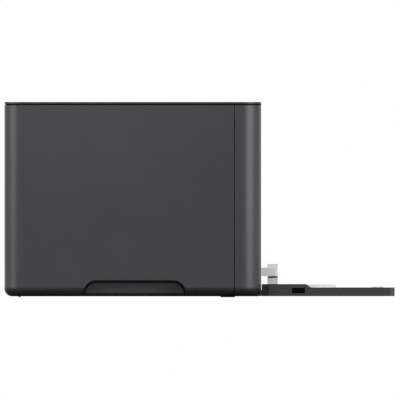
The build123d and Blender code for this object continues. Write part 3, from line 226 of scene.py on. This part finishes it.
# Painted shade: the casing is painted darker towards its bottom edge, where it turns under
undersideShade = {
    "top": 0.0112,  # the lower edge turns under from here down
    # painted shade: shares of that height, each with how dark it is painted
    "stops": [(0.0, 0.86), (0.37, 0.82), (0.66, 0.68), (0.85, 0.5), (0.95, 0.15), (1.0, 0.0)],
}
mouldTone = {
    "cloud": 0.05,  # grain of the slow change of tone from the mould's flow
    "pale": 1.1,
    "deep": 0.92,
    # painted light: the hand-hold's back wall is painted paler than the rest of the casing
    "pocket": 1.7,  # the hand-hold's back wall is paler
    "dust": 0.004,
    "glossChange": 0.08,  # by how much dust changes the roughness
    "bump": 0.6,
    "gapShade": 0.9,
    "rimShade": 0.8,
}
mouldings = {
    "casingMoulding": {
        "level": 0.022, "blue": 0.12, "roughness": 0.38, "specular": 0.25,
        "grain": 0.00045, "depth": 0.00002, "edge": 0.0005,
        "shade": ("topGroove", "sideSeam", "leftTongue", "rightTongue"), "body": True,
    },
    "lidMoulding": {
        "level": 0.024, "blue": 0.12, "roughness": 0.38, "specular": 0.25,
        "grain": 0.0004, "depth": 0.00002, "edge": 0.0005, "shade": (),
    },
    "trayMoulding": {
        "level": 0.021, "blue": 0.12, "roughness": 0.44, "specular": 0.22,
        "grain": 0.0004, "depth": 0.00002, "edge": 0.0004, "shade": ("leftTraySlot", "rightTraySlot"),
    },
    "guideMoulding": {
        "level": 0.66, "blue": 0.05, "roughness": 0.4, "specular": 0.5,
        "grain": 0.0006, "depth": 0.00001, "edge": 0.0004, "shade": ("guideNotch",),
    },
    "blackMoulding": {
        "level": 0.014, "blue": 0.0, "roughness": 0.45, "specular": 0.4,
        "grain": 0.0005, "depth": 0.00003, "edge": 0.0004, "shade": (),
    },
    "keyMoulding": {
        "level": 0.045, "blue": 0.1, "roughness": 0.32, "specular": 0.45,
        "grain": 0.0008, "depth": 0.00001, "edge": 0.0003, "shade": (),
    },
}


# painted shade along the hand-hold's edge and at its foot; the pocket mask also carries the pocket's painted light
def holdShade(finish):  # the hand-hold's pocket, and the dark line along its edge and its foot
    x, y, z = finish.axes()
    out = abs(x)
    up = z - (handHold["top"] - handHold["corner"])
    along = abs(y - handHold["middle"]) + handHold["flare"] * (z - handHold["top"])
    along = along - (handHold["half"] - handHold["corner"])
    edge = finish.reach(up.maths("MAXIMUM", 0.0), along.maths("MAXIMUM", 0.0), (0, 0)) - handHold["corner"]
    pocket = finish.between(out, handHold["back"], handHold["lip"]) * (z < handHold["top"])
    pocket = pocket * (edge < handHold["slack"])
    rim = finish.between(edge, *handHold["rim"]) * (out > handHold["back"])
    return pocket, rim.maths("MAXIMUM", pocket * (z < handHold["foot"]))


def moulding(name, size):
    finish = Finish(name)
    dust = finish.noise(mouldTone["dust"], 4.0)
    grain = finish.noise(size["grain"])
    deep, pale, paintedLighting = [grey(size["level"] * mouldTone[tone], size["blue"])
                          for tone in ("deep", "pale", "pocket")]
    colour = finish.blend(finish.noise(mouldTone["cloud"], 3.0), deep, pale)
    roughness = size["roughness"] + mouldTone["glossChange"] * (dust - 0.5)
    shades = []
    if size.get("body"):
        pocket, rim = holdShade(finish)
        # painted light: the hand-hold's back wall takes the paler colour
        colour = finish.blend(pocket, colour, paintedLighting)
        # painted shade, darker towards the bottom edge
        height = finish.axes()[2] * (1 / undersideShade["top"])
        under = finish.node("ShaderNodeValToRGB", {"stops": undersideShade["stops"]}, {0: height})
        # painted shade on the lower edge and along the hand-hold's rim and foot
        shades += [(1 - pocket) * under, mouldTone["rimShade"] * rim]
    if size["shade"]:
        # painted shade in the gaps, seams, notch and slots
        gaps = finish.largest([finish.within(shutLines[line]) for line in size["shade"]])
        shades.append(mouldTone["gapShade"] * gaps)
    normal = finish.bump(grain, size["depth"], mouldTone["bump"], finish.softEdges(size["edge"]))
    return finish.surface(finish.largest(shades) if shades else None, colour=colour, roughness=roughness,
                          specular=size["specular"], normal=normal)


finishes = {name: moulding(name, size) for name, size in mouldings.items()}


# Rubber, with a fine matt skin

rubber = {
    "level": 0.006,
    "bloom": 1.8,  # the paler bloom on it, as a multiple of the level
    "bloomSize": 0.01,
    "roughness": 0.8,
    "specular": 0.06,
    "grain": 0.0003,
    "depth": 0.00004,
    "edge": 0.0004,
}


def rubberFinish(name):
    finish = Finish(name)
    grain = finish.noise(rubber["grain"], 3.0)
    bloom = finish.noise(rubber["bloomSize"], 3.0)
    colour = finish.blend(bloom, grey(rubber["level"]), grey(rubber["level"] * rubber["bloom"]))
    roughness = rubber["roughness"] + 0.1 * grain
    normal = finish.bump(grain, rubber["depth"], 0.8, finish.softEdges(rubber["edge"]))
    return finish.surface(colour=colour, roughness=roughness, specular=rubber["specular"], normal=normal)


finishes["footRubber"] = rubberFinish("footRubber")


# Zinc-plated sheet with its faint spangle

zinc = {
    "dull": grey(0.465),
    "bright": grey(0.525),
    "spangle": 420.0,  # patches to the metre
    "line": 0.0006,
    "roughness": 0.34,
    "depth": 0.00001,
    "edge": 0.0003,
}


def zincFinish(name):
    finish = Finish(name)
    cells = {"Vector": finish.place, "Scale": zinc["spangle"]}
    patch = finish.axes(finish.node("ShaderNodeTexVoronoi", inputs=cells, out="Color"))[0]
    lines = finish.noise(zinc["line"], 2.0, (1, 0.05, 1))
    colour = finish.blend(patch, zinc["dull"], zinc["bright"])
    roughness = zinc["roughness"] + 0.07 * patch + 0.06 * lines
    normal = finish.bump(lines, zinc["depth"], 0.3, finish.softEdges(zinc["edge"]))
    return finish.surface(colour=colour, metallic=1.0, roughness=roughness, normal=normal)


finishes["zincSheet"] = zincFinish("zincSheet")


# Rollers: steel shaft, rubber or coated barrel and acetal gear on one shaft

rollers = {
    "pickup_roller": {"shaft": 0.0042, "rubber": (0.02, 0.02, 0.021, 1), "roughness": 0.7},
    "registration_roller": {"shaft": 0.0032, "rubber": (0.03, 0.03, 0.032, 1), "roughness": 0.65},
    "registration_idler": {"shaft": 0.0022, "rubber": (0.32, 0.33, 0.34, 1), "roughness": 0.5},
    "photo_drum": {"shaft": 0.0032, "rubber": (0.02, 0.16, 0.19, 1), "roughness": 0.12},
    "transfer_roller": {"shaft": 0.0027, "rubber": (0.045, 0.045, 0.048, 1), "roughness": 0.9},
    "heat_roller": {"shaft": 0.0037, "rubber": (0.12, 0.035, 0.018, 1), "roughness": 0.35},
    "pressure_roller": {"shaft": 0.0042, "rubber": (0.28, 0.11, 0.06, 1), "roughness": 0.55},
    "exit_rollers": {"shaft": 0.0027, "rubber": (0.03, 0.03, 0.032, 1), "roughness": 0.65},
    "exit_idlers": {"shaft": 0.0017, "rubber": (0.32, 0.33, 0.34, 1), "roughness": 0.5},
}
bodyOf = {node: body for body, members in frame["record"]["behaviour"]["bodies"].items() for node in members}
axisOf = {joint["child"]: joint.get("pos_m") for joint in frame["joints"]}
rollerLook = {
    "gearPlane": 0.1215,  # gears lie beyond this on the shafts, barrels before it
    "steel": (grey(0.42), grey(0.6)),
    "acetal": ((0.66, 0.65, 0.6, 1), (0.78, 0.77, 0.72, 1)),
    "steelRoughness": 0.28,
    "acetalRoughness": 0.45,
    "grain": 0.0004,
    "turning": 0.0005,
    "depth": 0.00003,
    "edge": 0.0003,
}


def rollerFinish(name, size):
    finish = Finish(name + "Finish")
    x, y, z = finish.axes()
    out = finish.reach(y, z, axisOf[bodyOf[name]][1:])
    barrel = (out > size["shaft"]) * (x < rollerLook["gearPlane"])
    toothed = (out > size["shaft"]) * (x > rollerLook["gearPlane"])
    grain = finish.noise(rollerLook["grain"], 3.0)
    steel = finish.blend(finish.noise(rollerLook["turning"], 2.0, (1, 0.03, 0.03)), *rollerLook["steel"])
    coated = finish.blend(grain, tuple(0.8 * part for part in size["rubber"][:3]) + (1,), size["rubber"])
    acetal = finish.blend(finish.noise(0.01), *rollerLook["acetal"])
    colour = finish.blend(toothed, finish.blend(barrel, steel, coated), acetal)
    metallic = 1 - (barrel + toothed)
    polish = rollerLook["steelRoughness"]
    roughness = polish + barrel * (size["roughness"] - polish)
    roughness = roughness + toothed * (rollerLook["acetalRoughness"] - polish)
    normal = finish.bump(grain, rollerLook["depth"], 0.5, finish.softEdges(rollerLook["edge"]))
    return finish.surface(colour=colour, metallic=metallic, roughness=roughness, normal=normal)


for name, size in rollers.items():
    finishes[name] = rollerFinish(name, size)


acetal = {
    "deep": (0.64, 0.63, 0.58, 1),
    "pale": (0.8, 0.79, 0.74, 1),
    "cloud": 0.008,
    "grain": 0.0006,
    "depth": 0.00001,
    "edge": 0.0003,
    "roughness": 0.4,
}


def acetalFinish(name):
    finish = Finish(name)
    cloud = finish.noise(acetal["cloud"])
    colour = finish.blend(cloud, acetal["deep"], acetal["pale"])
    grain = finish.noise(acetal["grain"])
    normal = finish.bump(grain, acetal["depth"], 0.4, finish.softEdges(acetal["edge"]))
    return finish.surface(colour=colour, roughness=acetal["roughness"] + 0.06 * cloud, normal=normal)


finishes["acetalGear"] = acetalFinish("acetalGear")


# Circuit boards: green mask over copper lines, with dark parts standing on them

boardLook = {
    "trackScale": 180.0,
    "padScale": 260.0,
    "padSize": 0.16,
    "mask": ((0.006, 0.075, 0.03, 1), (0.012, 0.13, 0.055, 1)),
    "pad": (0.42, 0.42, 0.4, 1),
    "parts": (grey(0.012), grey(0.03)),
    "slack": 0.00005,
    "depth": 0.00004,
    "edge": 0.0003,
}
boards = {  # the axis across each board, and its two faces
    "main_board": {"axis": 0, "low": 0.1590, "high": 0.1606},
    "power_board": {"axis": 0, "low": -0.1321, "high": -0.1305},
    "panel_board": {"axis": 2, "low": 0.2030, "high": 0.2046},
}


def boardFinish(name, size):
    finish = Finish(name + "Finish")
    along = finish.axes()
    level = along[size["axis"]]
    first, second = [along[index] for index in range(3) if index != size["axis"]]
    inBoard = finish.between(level, size["low"] - boardLook["slack"], size["high"] + boardLook["slack"])
    bricks = {
        "Vector": finish.node("ShaderNodeCombineXYZ", inputs={0: first, 1: second}),
        "Scale": boardLook["trackScale"],
        "Mortar Size": 0.012,
    }
    tracks = finish.node("ShaderNodeTexBrick", inputs=bricks, out="Fac")
    cells = {"Vector": finish.place, "Scale": boardLook["padScale"]}
    pads = finish.node("ShaderNodeTexVoronoi", inputs=cells, out="Distance") < boardLook["padSize"]
    printed = finish.blend(pads, finish.blend(tracks, *boardLook["mask"]), boardLook["pad"])
    colour = finish.blend(inBoard, finish.blend(finish.noise(0.003), *boardLook["parts"]), printed)
    roughness = 0.5 - 0.22 * inBoard
    normal = finish.bump(tracks, boardLook["depth"], 0.5, finish.softEdges(boardLook["edge"]))
    return finish.surface(colour=colour, roughness=roughness, normal=normal)


for name, size in boards.items():
    finishes[name] = boardFinish(name, size)


# Display, motor, sockets and springs

display = {
    "margin": (0.004, 0.0035),  # black border around the panel, along X and Y
    "dots": {"Scale": 1000.0, "Mortar Size": 0.1, "Brick Width": 0.5, "Row Height": 0.5},
    "dotColours": ((0.035, 0.048, 0.045, 1), (0.026, 0.034, 0.033, 1)),
    "border": grey(0.006),
    "roughness": 0.06,
    "smear": 0.02,
    "edge": 0.0003,
}


def displayFinish(name):
    finish = Finish(name)
    low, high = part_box("lcd_window")
    face = finish.within({axis: (low[axis] + margin, high[axis] - margin)
                          for axis, margin in enumerate(display["margin"])})
    dots = {"Vector": finish.place, **display["dots"]}
    grid = finish.node("ShaderNodeTexBrick", {"offset": 0.0}, dots, out="Fac")
    colour = finish.blend(face, display["border"], finish.blend(grid, *display["dotColours"]))
    roughness = display["roughness"] + 0.05 * finish.noise(display["smear"], 3.0)
    return finish.surface(colour=colour, roughness=roughness, normal=finish.softEdges(display["edge"]))


finishes["displayGlass"] = displayFinish("displayGlass")


motor = {"dull": grey(0.34), "bright": grey(0.5), "brush": 0.0005, "roughness": 0.32, "edge": 0.0006}


def motorFinish(name):
    finish = Finish(name)
    brushed = finish.noise(motor["brush"], 2.0, (0.05, 1, 1))
    colour = finish.blend(brushed, motor["dull"], motor["bright"])
    roughness = motor["roughness"] + 0.1 * brushed
    normal = finish.softEdges(motor["edge"])
    return finish.surface(colour=colour, metallic=1.0, roughness=roughness, normal=normal)


finishes["motorCan"] = motorFinish("motorCan")


socketShell = {
    "dull": grey(0.5),
    "bright": grey(0.68),
    "scratch": 0.0008,
    "roughness": 0.22,
    "inset": (0.0015, 0.0008),  # from the inner end and from the mouth, between them it is duller
    "edge": 0.0003,
}


def socketFinish(name, node):
    finish = Finish(name)
    low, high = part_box(node)
    inset = finish.within({1: (low[1] + socketShell["inset"][0], high[1] - socketShell["inset"][1])})
    scratches = finish.noise(socketShell["scratch"], 3.0, (1, 0.1, 1))
    colour = finish.blend(scratches, socketShell["dull"], socketShell["bright"])
    roughness = socketShell["roughness"] + 0.12 * scratches + 0.04 * inset
    normal = finish.softEdges(socketShell["edge"])
    return finish.surface(colour=colour, metallic=1.0, roughness=roughness, normal=normal)


finishes["usb_port"] = socketFinish("usbShell", "usb_port")
finishes["lan_port"] = socketFinish("lanShell", "lan_port")


inlet = {
    "pinHalf": {0: 0.0075, 2: 0.004},  # half the room that the pins take across and up
    "pinDepth": (0.019, 0.004),  # from the mouth to their roots and to their tips
    "plastic": (grey(0.012), grey(0.02)),
    "pin": grey(0.6),
    "grain": 0.0005,
    "depth": 0.00003,
    "edge": 0.0004,
    "roughness": 0.45,
}


def inletFinish(name):
    finish = Finish(name)
    low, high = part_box("mains_inlet")
    room = {1: (high[1] - inlet["pinDepth"][0], high[1] - inlet["pinDepth"][1])}
    for axis, half in inlet["pinHalf"].items():
        middle = (low[axis] + high[axis]) / 2
        room[axis] = (middle - half, middle + half)
    blade = finish.within(room)
    colour = finish.blend(blade, finish.blend(finish.noise(0.004), *inlet["plastic"]), inlet["pin"])
    roughness = inlet["roughness"] - 0.2 * blade
    normal = finish.bump(finish.noise(inlet["grain"]), inlet["depth"], 0.5, finish.softEdges(inlet["edge"]))
    return finish.surface(colour=colour, metallic=blade, roughness=roughness, normal=normal)


finishes["mains_inlet"] = inletFinish("inletMoulding")


# painted shade: the dark bands between the spring's turns stand in for the shade between the coils
spring = {"gap": grey(0.16), "wire": grey(0.55), "turns": 400.0, "depth": 0.0004, "roughness": 0.3}


def springFinish(name):
    finish = Finish(name)
    waves = {"Vector": finish.place, "Scale": spring["turns"]}
    turns = finish.node("ShaderNodeTexWave", {"bands_direction": "Z"}, waves, out="Fac")
    colour = finish.blend(turns, spring["gap"], spring["wire"])
    roughness = spring["roughness"] + 0.1 * turns
    normal = finish.bump(turns, spring["depth"])
    return finish.surface(colour=colour, metallic=1.0, roughness=roughness, normal=normal)


finishes["springSteel"] = springFinish("springSteel")
print("finishes made:", len(finishes))


# Which finish each CAD node carries

coats = {
    "casingMoulding": [
        "left_side_cover", "right_side_cover", "front_frame", "rear_cover", "rear_door", "top_frame",
        "control_panel_bezel",
    ],
    "trayMoulding": ["input_tray", "tray_floor", "base_frame"],
    "lidMoulding": ["top_cover", "output_stopper"],
    "guideMoulding": ["left_paper_guide", "right_paper_guide", "end_guide"],
    "blackMoulding": [
        "toner_cartridge", "scanner_unit", "turn_guide", "exit_guide", "cooling_fan", "fan_rotor",
    ],
    "keyMoulding": [
        "power_key", "menu_key", "back_key", "ok_key", "up_key", "down_key", "stop_key", "start_key",
    ],
    "footRubber": ["front_feet", "separation_pad"],
    "zincSheet": [
        "left_frame", "right_frame", "fuser_frame", "drive_bracket", "lift_plate", "lid_hinge_pins",
        "cover_screws",
    ],
    "acetalGear": ["guide_pinion", "motor_pinion", "fuser_idler_gear", "feed_idler_gear"],
    "displayGlass": ["lcd_window"],
    "motorCan": ["main_motor"],
    "springSteel": ["lift_springs"],
}
for finish, members in coats.items():
    for member in members:
        finishes[member] = finishes[finish]
for name, item in nodes.items():
    for slot in item.material_slots:
        slot.material = finishes[name]
    if not item.material_slots:
        item.data.materials.append(finishes[name])
print("nodes dressed")


# Signs on the keys: thin inlays that ride with them. Points are in halves of a sign's size from its middle

signs = {
    "thickness": 0.00012,
    "size": 0.0048,
    "line": 0.0008,
    "rings": {  # radius, and where it starts and ends in degrees
        "power_key": (0.85, 120, 420),
        "ok_key": (0.7, 0, 360),
    },
    "ringSteps": 20,
    "patches": {
        "up_key": [(-0.7, -0.35), (0.7, -0.35), (0, 0.5)],
        "down_key": [(-0.7, 0.35), (0, -0.5), (0.7, 0.35)],
        "start_key": [(-0.5, -0.8), (0.9, 0), (-0.5, 0.8)],
    },
    "strokes": {
        "stop_key": [((-0.7, -0.7), (0.7, 0.7)), ((-0.7, 0.7), (0.7, -0.7))],
        "back_key": [((0.5, 0.8), (-0.5, 0)), ((-0.5, 0), (0.5, -0.8))],
        "menu_key": [((-0.8, rise), (0.8, rise)) for rise in (-0.6, 0, 0.6)],
        "power_key": [((0, 0.1), (0, 1.15))],
    },
}


def inkFinish(name, level, roughness=0.5):
    finish = Finish(name)
    wear = finish.noise(0.001, 3.0)
    colour = finish.blend(wear, grey(level * 0.85), grey(level))
    return finish.surface(colour=colour, roughness=roughness + 0.1 * wear)


signInk = inkFinish("signInk", 0.78)


def added(name, mesh, finish, body):  # makes the piece and lets it ride
    data = bpy.data.meshes.new(name)
    mesh.to_mesh(data)
    mesh.free()
    data.materials.append(finish)
    item = bpy.data.objects.new(name, data)
    scene.collection.objects.link(item)
    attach(item, body)
    return item


def extruded(name, outlines, thickness, finish, body, place):
    mesh = bmesh.new()
    for outline in outlines:
        lower = [mesh.verts.new((x, y, 0)) for x, y in outline]
        made = bmesh.ops.extrude_face_region(mesh, geom=[mesh.faces.new(lower)])
        raised = [item for item in made["geom"] if isinstance(item, bmesh.types.BMVert)]
        bmesh.ops.translate(mesh, verts=raised, vec=(0, 0, thickness))
    bmesh.ops.transform(mesh, matrix=place, verts=mesh.verts)
    bmesh.ops.recalc_face_normals(mesh, faces=mesh.faces)
    return added(name, mesh, finish, body)


def onCircle(middle, radius, turn):
    return middle[0] + radius * math.cos(turn), middle[1] + radius * math.sin(turn)


def ringBits(middle, radius, line, start, end, steps):
    inner, outer = radius - line / 2, radius + line / 2
    bits = []
    for index in range(steps):
        first, second = [math.radians(start + (end - start) * (index + part) / steps) for part in (0, 1)]
        bits.append([onCircle(middle, inner, first), onCircle(middle, outer, first),
                     onCircle(middle, outer, second), onCircle(middle, inner, second)])
    return bits


def bar(first, second, line):
    run = Vector(second) - Vector(first)
    side = Vector((-run.y, run.x)).normalized() * line / 2
    return [(first[0] - side.x, first[1] - side.y), (second[0] - side.x, second[1] - side.y),
            (second[0] + side.x, second[1] + side.y), (first[0] + side.x, first[1] + side.y)]


def signShapes(name, middle):
    half = signs["size"] / 2

    def placed(point):
        return middle[0] + half * point[0], middle[1] + half * point[1]

    shapes = []
    if name in signs["rings"]:
        radius, start, end = signs["rings"][name]
        shapes += ringBits(middle, half * radius, signs["line"], start, end, signs["ringSteps"])
    if name in signs["patches"]:
        shapes.append([placed(point) for point in signs["patches"][name]])
    for first, second in signs["strokes"].get(name, []):
        shapes.append(bar(placed(first), placed(second), signs["line"]))
    return shapes


for name in coats["keyMoulding"]:
    low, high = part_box(name)
    shapes = signShapes(name, ((low[0] + high[0]) / 2, (low[1] + high[1]) / 2))
    place = Matrix.Translation((0, 0, high[2] - signs["thickness"] / 2))
    extruded(name + "_sign", shapes, signs["thickness"], signInk, bodyOf[name], place)
print("signs set")


# Cross recesses in the screw heads: dark inlays a hair proud of each head, painted shade where the recesses would
# be

screws = {
    "reach": 0.0019,
    "slot": 0.0009,
    "proud": 0.00003,
    "thickness": 0.0003,
    "rearPlaces": [(x, z) for x in (-0.1265, 0.1265) for z in (0.012, 0.194)],
    "rearFace": 0.1397,
    "floorPlaces": [(x, y) for x in (-0.1265, 0.1265) for y in (-0.08, 0.08)],
    "floorFace": 0.0013,
}
recessFinish = inkFinish("recessShade", 0.004, 0.7)


def crossRecess(name, place):
    half, reach = screws["slot"] / 2, screws["reach"]
    outline = [(half, half), (half, reach), (-half, reach), (-half, half), (-reach, half), (-reach, -half),
               (-half, -half), (-half, -reach), (half, -reach), (half, -half), (reach, -half), (reach, half)]
    extruded(name, [outline], screws["thickness"], recessFinish, bodyOf["cover_screws"], place)


for index, (x, z) in enumerate(screws["rearPlaces"]):
    place = Matrix.Translation((x, screws["rearFace"] + screws["proud"], z))
    crossRecess(f"rear_screw_recess_{index}", place @ Matrix.Rotation(math.pi / 2, 4, "X"))
for index, (x, y) in enumerate(screws["floorPlaces"]):
    place = Matrix.Translation((x, y, screws["floorFace"] - screws["proud"]))
    crossRecess(f"floor_screw_recess_{index}", place)
print("screw recesses set")


# Ready light beside the power key: a small domed lens

readyLight = {
    "place": (0.1478, 0.002),
    "radius": 0.0013,
    "rise": 0.0004,
    "below": 0.0003,  # its rim lies this far below the panel
    "sunk": 0.0006,
    "steps": 24,
    "rings": 5,
    "deep": (0.04, 0.32, 0.08, 1),
    "pale": (0.07, 0.45, 0.12, 1),
    "glow": 0.6,
}


def lensFinish(name):
    finish = Finish(name)
    cloud = finish.noise(0.0008)
    colour = finish.blend(cloud, readyLight["deep"], readyLight["pale"])
    roughness = 0.12 + 0.05 * cloud
    return finish.surface(colour=colour, roughness=roughness, glow=colour, glowStrength=readyLight["glow"])


def dome(name, size, level, finish, body):
    mesh = bmesh.new()
    profile = [(size["radius"], -size["sunk"])]
    for step in range(size["rings"]):
        turn = math.pi / 2 * step / size["rings"]
        profile.append((size["radius"] * math.cos(turn), size["rise"] * math.sin(turn)))
    rings = []
    for radius, rise in profile:
        ring = []
        for step in range(size["steps"]):
            turn = 2 * math.pi * step / size["steps"]
            ring.append(mesh.verts.new((*onCircle(size["place"], radius, turn), level + rise)))
        rings.append(ring)
    mesh.faces.new(rings[0][::-1])
    for lower, upper in zip(rings, rings[1:]):
        for step in range(size["steps"]):
            after = (step + 1) % size["steps"]
            mesh.faces.new((lower[step], lower[after], upper[after], upper[step]))
    mesh.faces.new(rings[-1])
    bmesh.ops.recalc_face_normals(mesh, faces=mesh.faces)
    item = added(name, mesh, finish, body)
    for face in item.data.polygons:
        face.use_smooth = len(face.vertices) == 4
    return item


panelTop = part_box("control_panel_bezel")[1][2]
dome("ready_light", readyLight, panelTop - readyLight["below"], lensFinish("readyLens"),
     bodyOf["control_panel_bezel"])
print("ready light set")


# Dark strips behind the front seams, where the tongue ends below the skirt: black sheets that put painted shade
# into the seams

seamShadeStrips = {
    "outer": 0.1731,
    "depth": 0.0012,
    "y": (-0.1135, -0.1082),
    "z": (0.1955, 0.2008),
}
(front, back), (bottom, top) = seamShadeStrips["y"], seamShadeStrips["z"]
for side, name in ((-1, "left_seam_backing"), (1, "right_seam_backing")):
    outline = [(front, bottom), (back, bottom), (back, top), (front, top)]
    inner = side * (seamShadeStrips["outer"] - seamShadeStrips["depth"])
    place = Matrix(((0, 0, side, inner), (1, 0, 0, 0), (0, 1, 0, 0), (0, 0, 0, 1)))
    extruded(name, [outline], seamShadeStrips["depth"], finishes["blackMoulding"], bodyOf["front_frame"],
             place)
print("seam backing set")


# Floor and light

studio = {
    "floorSize": 6.0,
    "floorSides": 48,
    "floorDrop": 0.0002,  # so that it doesn't lie in the plane of the feet
    "floorSeen": 0.8,  # how pale the floor looks
    "floorBounce": 0.3,  # how much light it sends back on to the printer
    "ambient": 0.14,
    "lamps": [  # name, place, aim, size, watts
        ("topSoftbox", (-0.2, 0.1, 2.2), (0, 0, 0.1), (1.8, 1.8), 24),
        ("keySoftbox", (-0.42, 0.14, 0.54), (-0.15, 0.02, 0.12), (0.3, 0.3), 3.2),
        ("frontSoftbox", (-1.05, -1.75, 0.5), (0, -0.1, 0.1), (1.5, 0.9), 47),
        ("rearSoftbox", (-0.95, 1.8, 0.5), (0, 0.1, 0.1), (1.8, 0.9), 33),
        ("farSoftbox", (1.6, -0.6, 1.2), (0, 0, 0.1), (1.2, 1.2), 22),
    ],
}

world = bpy.data.worlds.new("studio")
scene.world = world
world.use_nodes = True
world.node_tree.nodes.clear()


def worldNode(kind, inputs=None):
    made = world.node_tree.nodes.new(kind)
    for name, value in (inputs or {}).items():
        if isinstance(value, bpy.types.NodeSocket):
            world.node_tree.links.new(value, made.inputs[name])
        else:
            made.inputs[name].default_value = value
    return made


path = worldNode("ShaderNodeLightPath").outputs
seen = worldNode("ShaderNodeMath", {0: path["Is Camera Ray"], 1: path["Is Glossy Ray"]})
seen = worldNode("ShaderNodeMath", {0: seen.outputs[0], 1: path["Is Transmission Ray"]})
seen.use_clamp = True
dim = worldNode("ShaderNodeBackground", {"Color": grey(1), "Strength": studio["ambient"]})
bright = worldNode("ShaderNodeBackground", {"Color": grey(1), "Strength": 1.0})
either = worldNode("ShaderNodeMixShader", {0: seen.outputs[0], 1: dim.outputs[0], 2: bright.outputs[0]})
worldNode("ShaderNodeOutputWorld", {"Surface": either.outputs[0]})

for name, place, aim, size, watts in studio["lamps"]:
    data = bpy.data.lights.new(name, "AREA")
    data.shape = "RECTANGLE"
    data.size, data.size_y = size
    data.energy = watts
    lamp = bpy.data.objects.new(name, data)
    lamp.location = place
    lamp.rotation_euler = (Vector(aim) - Vector(place)).to_track_quat("-Z", "Z").to_euler()
    lamp.visible_camera = False
    scene.collection.objects.link(lamp)

floorMesh = bmesh.new()
half = studio["floorSize"] / 2
turns = [2 * math.pi * step / studio["floorSides"] for step in range(studio["floorSides"])]
rim = [floorMesh.verts.new((*onCircle((0, 0), half, turn), -studio["floorDrop"])) for turn in turns]
floorMesh.faces.new(rim)
floorData = bpy.data.meshes.new("floor")
floorMesh.to_mesh(floorData)
floorMesh.free()
floor = bpy.data.objects.new("floor", floorData)
floorFinish = Finish("floorPaper")
rays = [floorFinish.node("ShaderNodeLightPath", out=name)
        for name in ("Is Camera Ray", "Is Glossy Ray", "Is Transmission Ray")]
paper = floorFinish.blend(floorFinish.noise(0.3), grey(studio["floorSeen"]), grey(studio["floorSeen"] * 1.04))
colour = floorFinish.blend(floorFinish.largest(rays), grey(studio["floorBounce"]), paper)
floorData.materials.append(floorFinish.surface(colour=colour, roughness=0.85, specular=0.2))
scene.collection.objects.link(floor)
scene.view_settings.view_transform = "Standard"
print("studio lit")
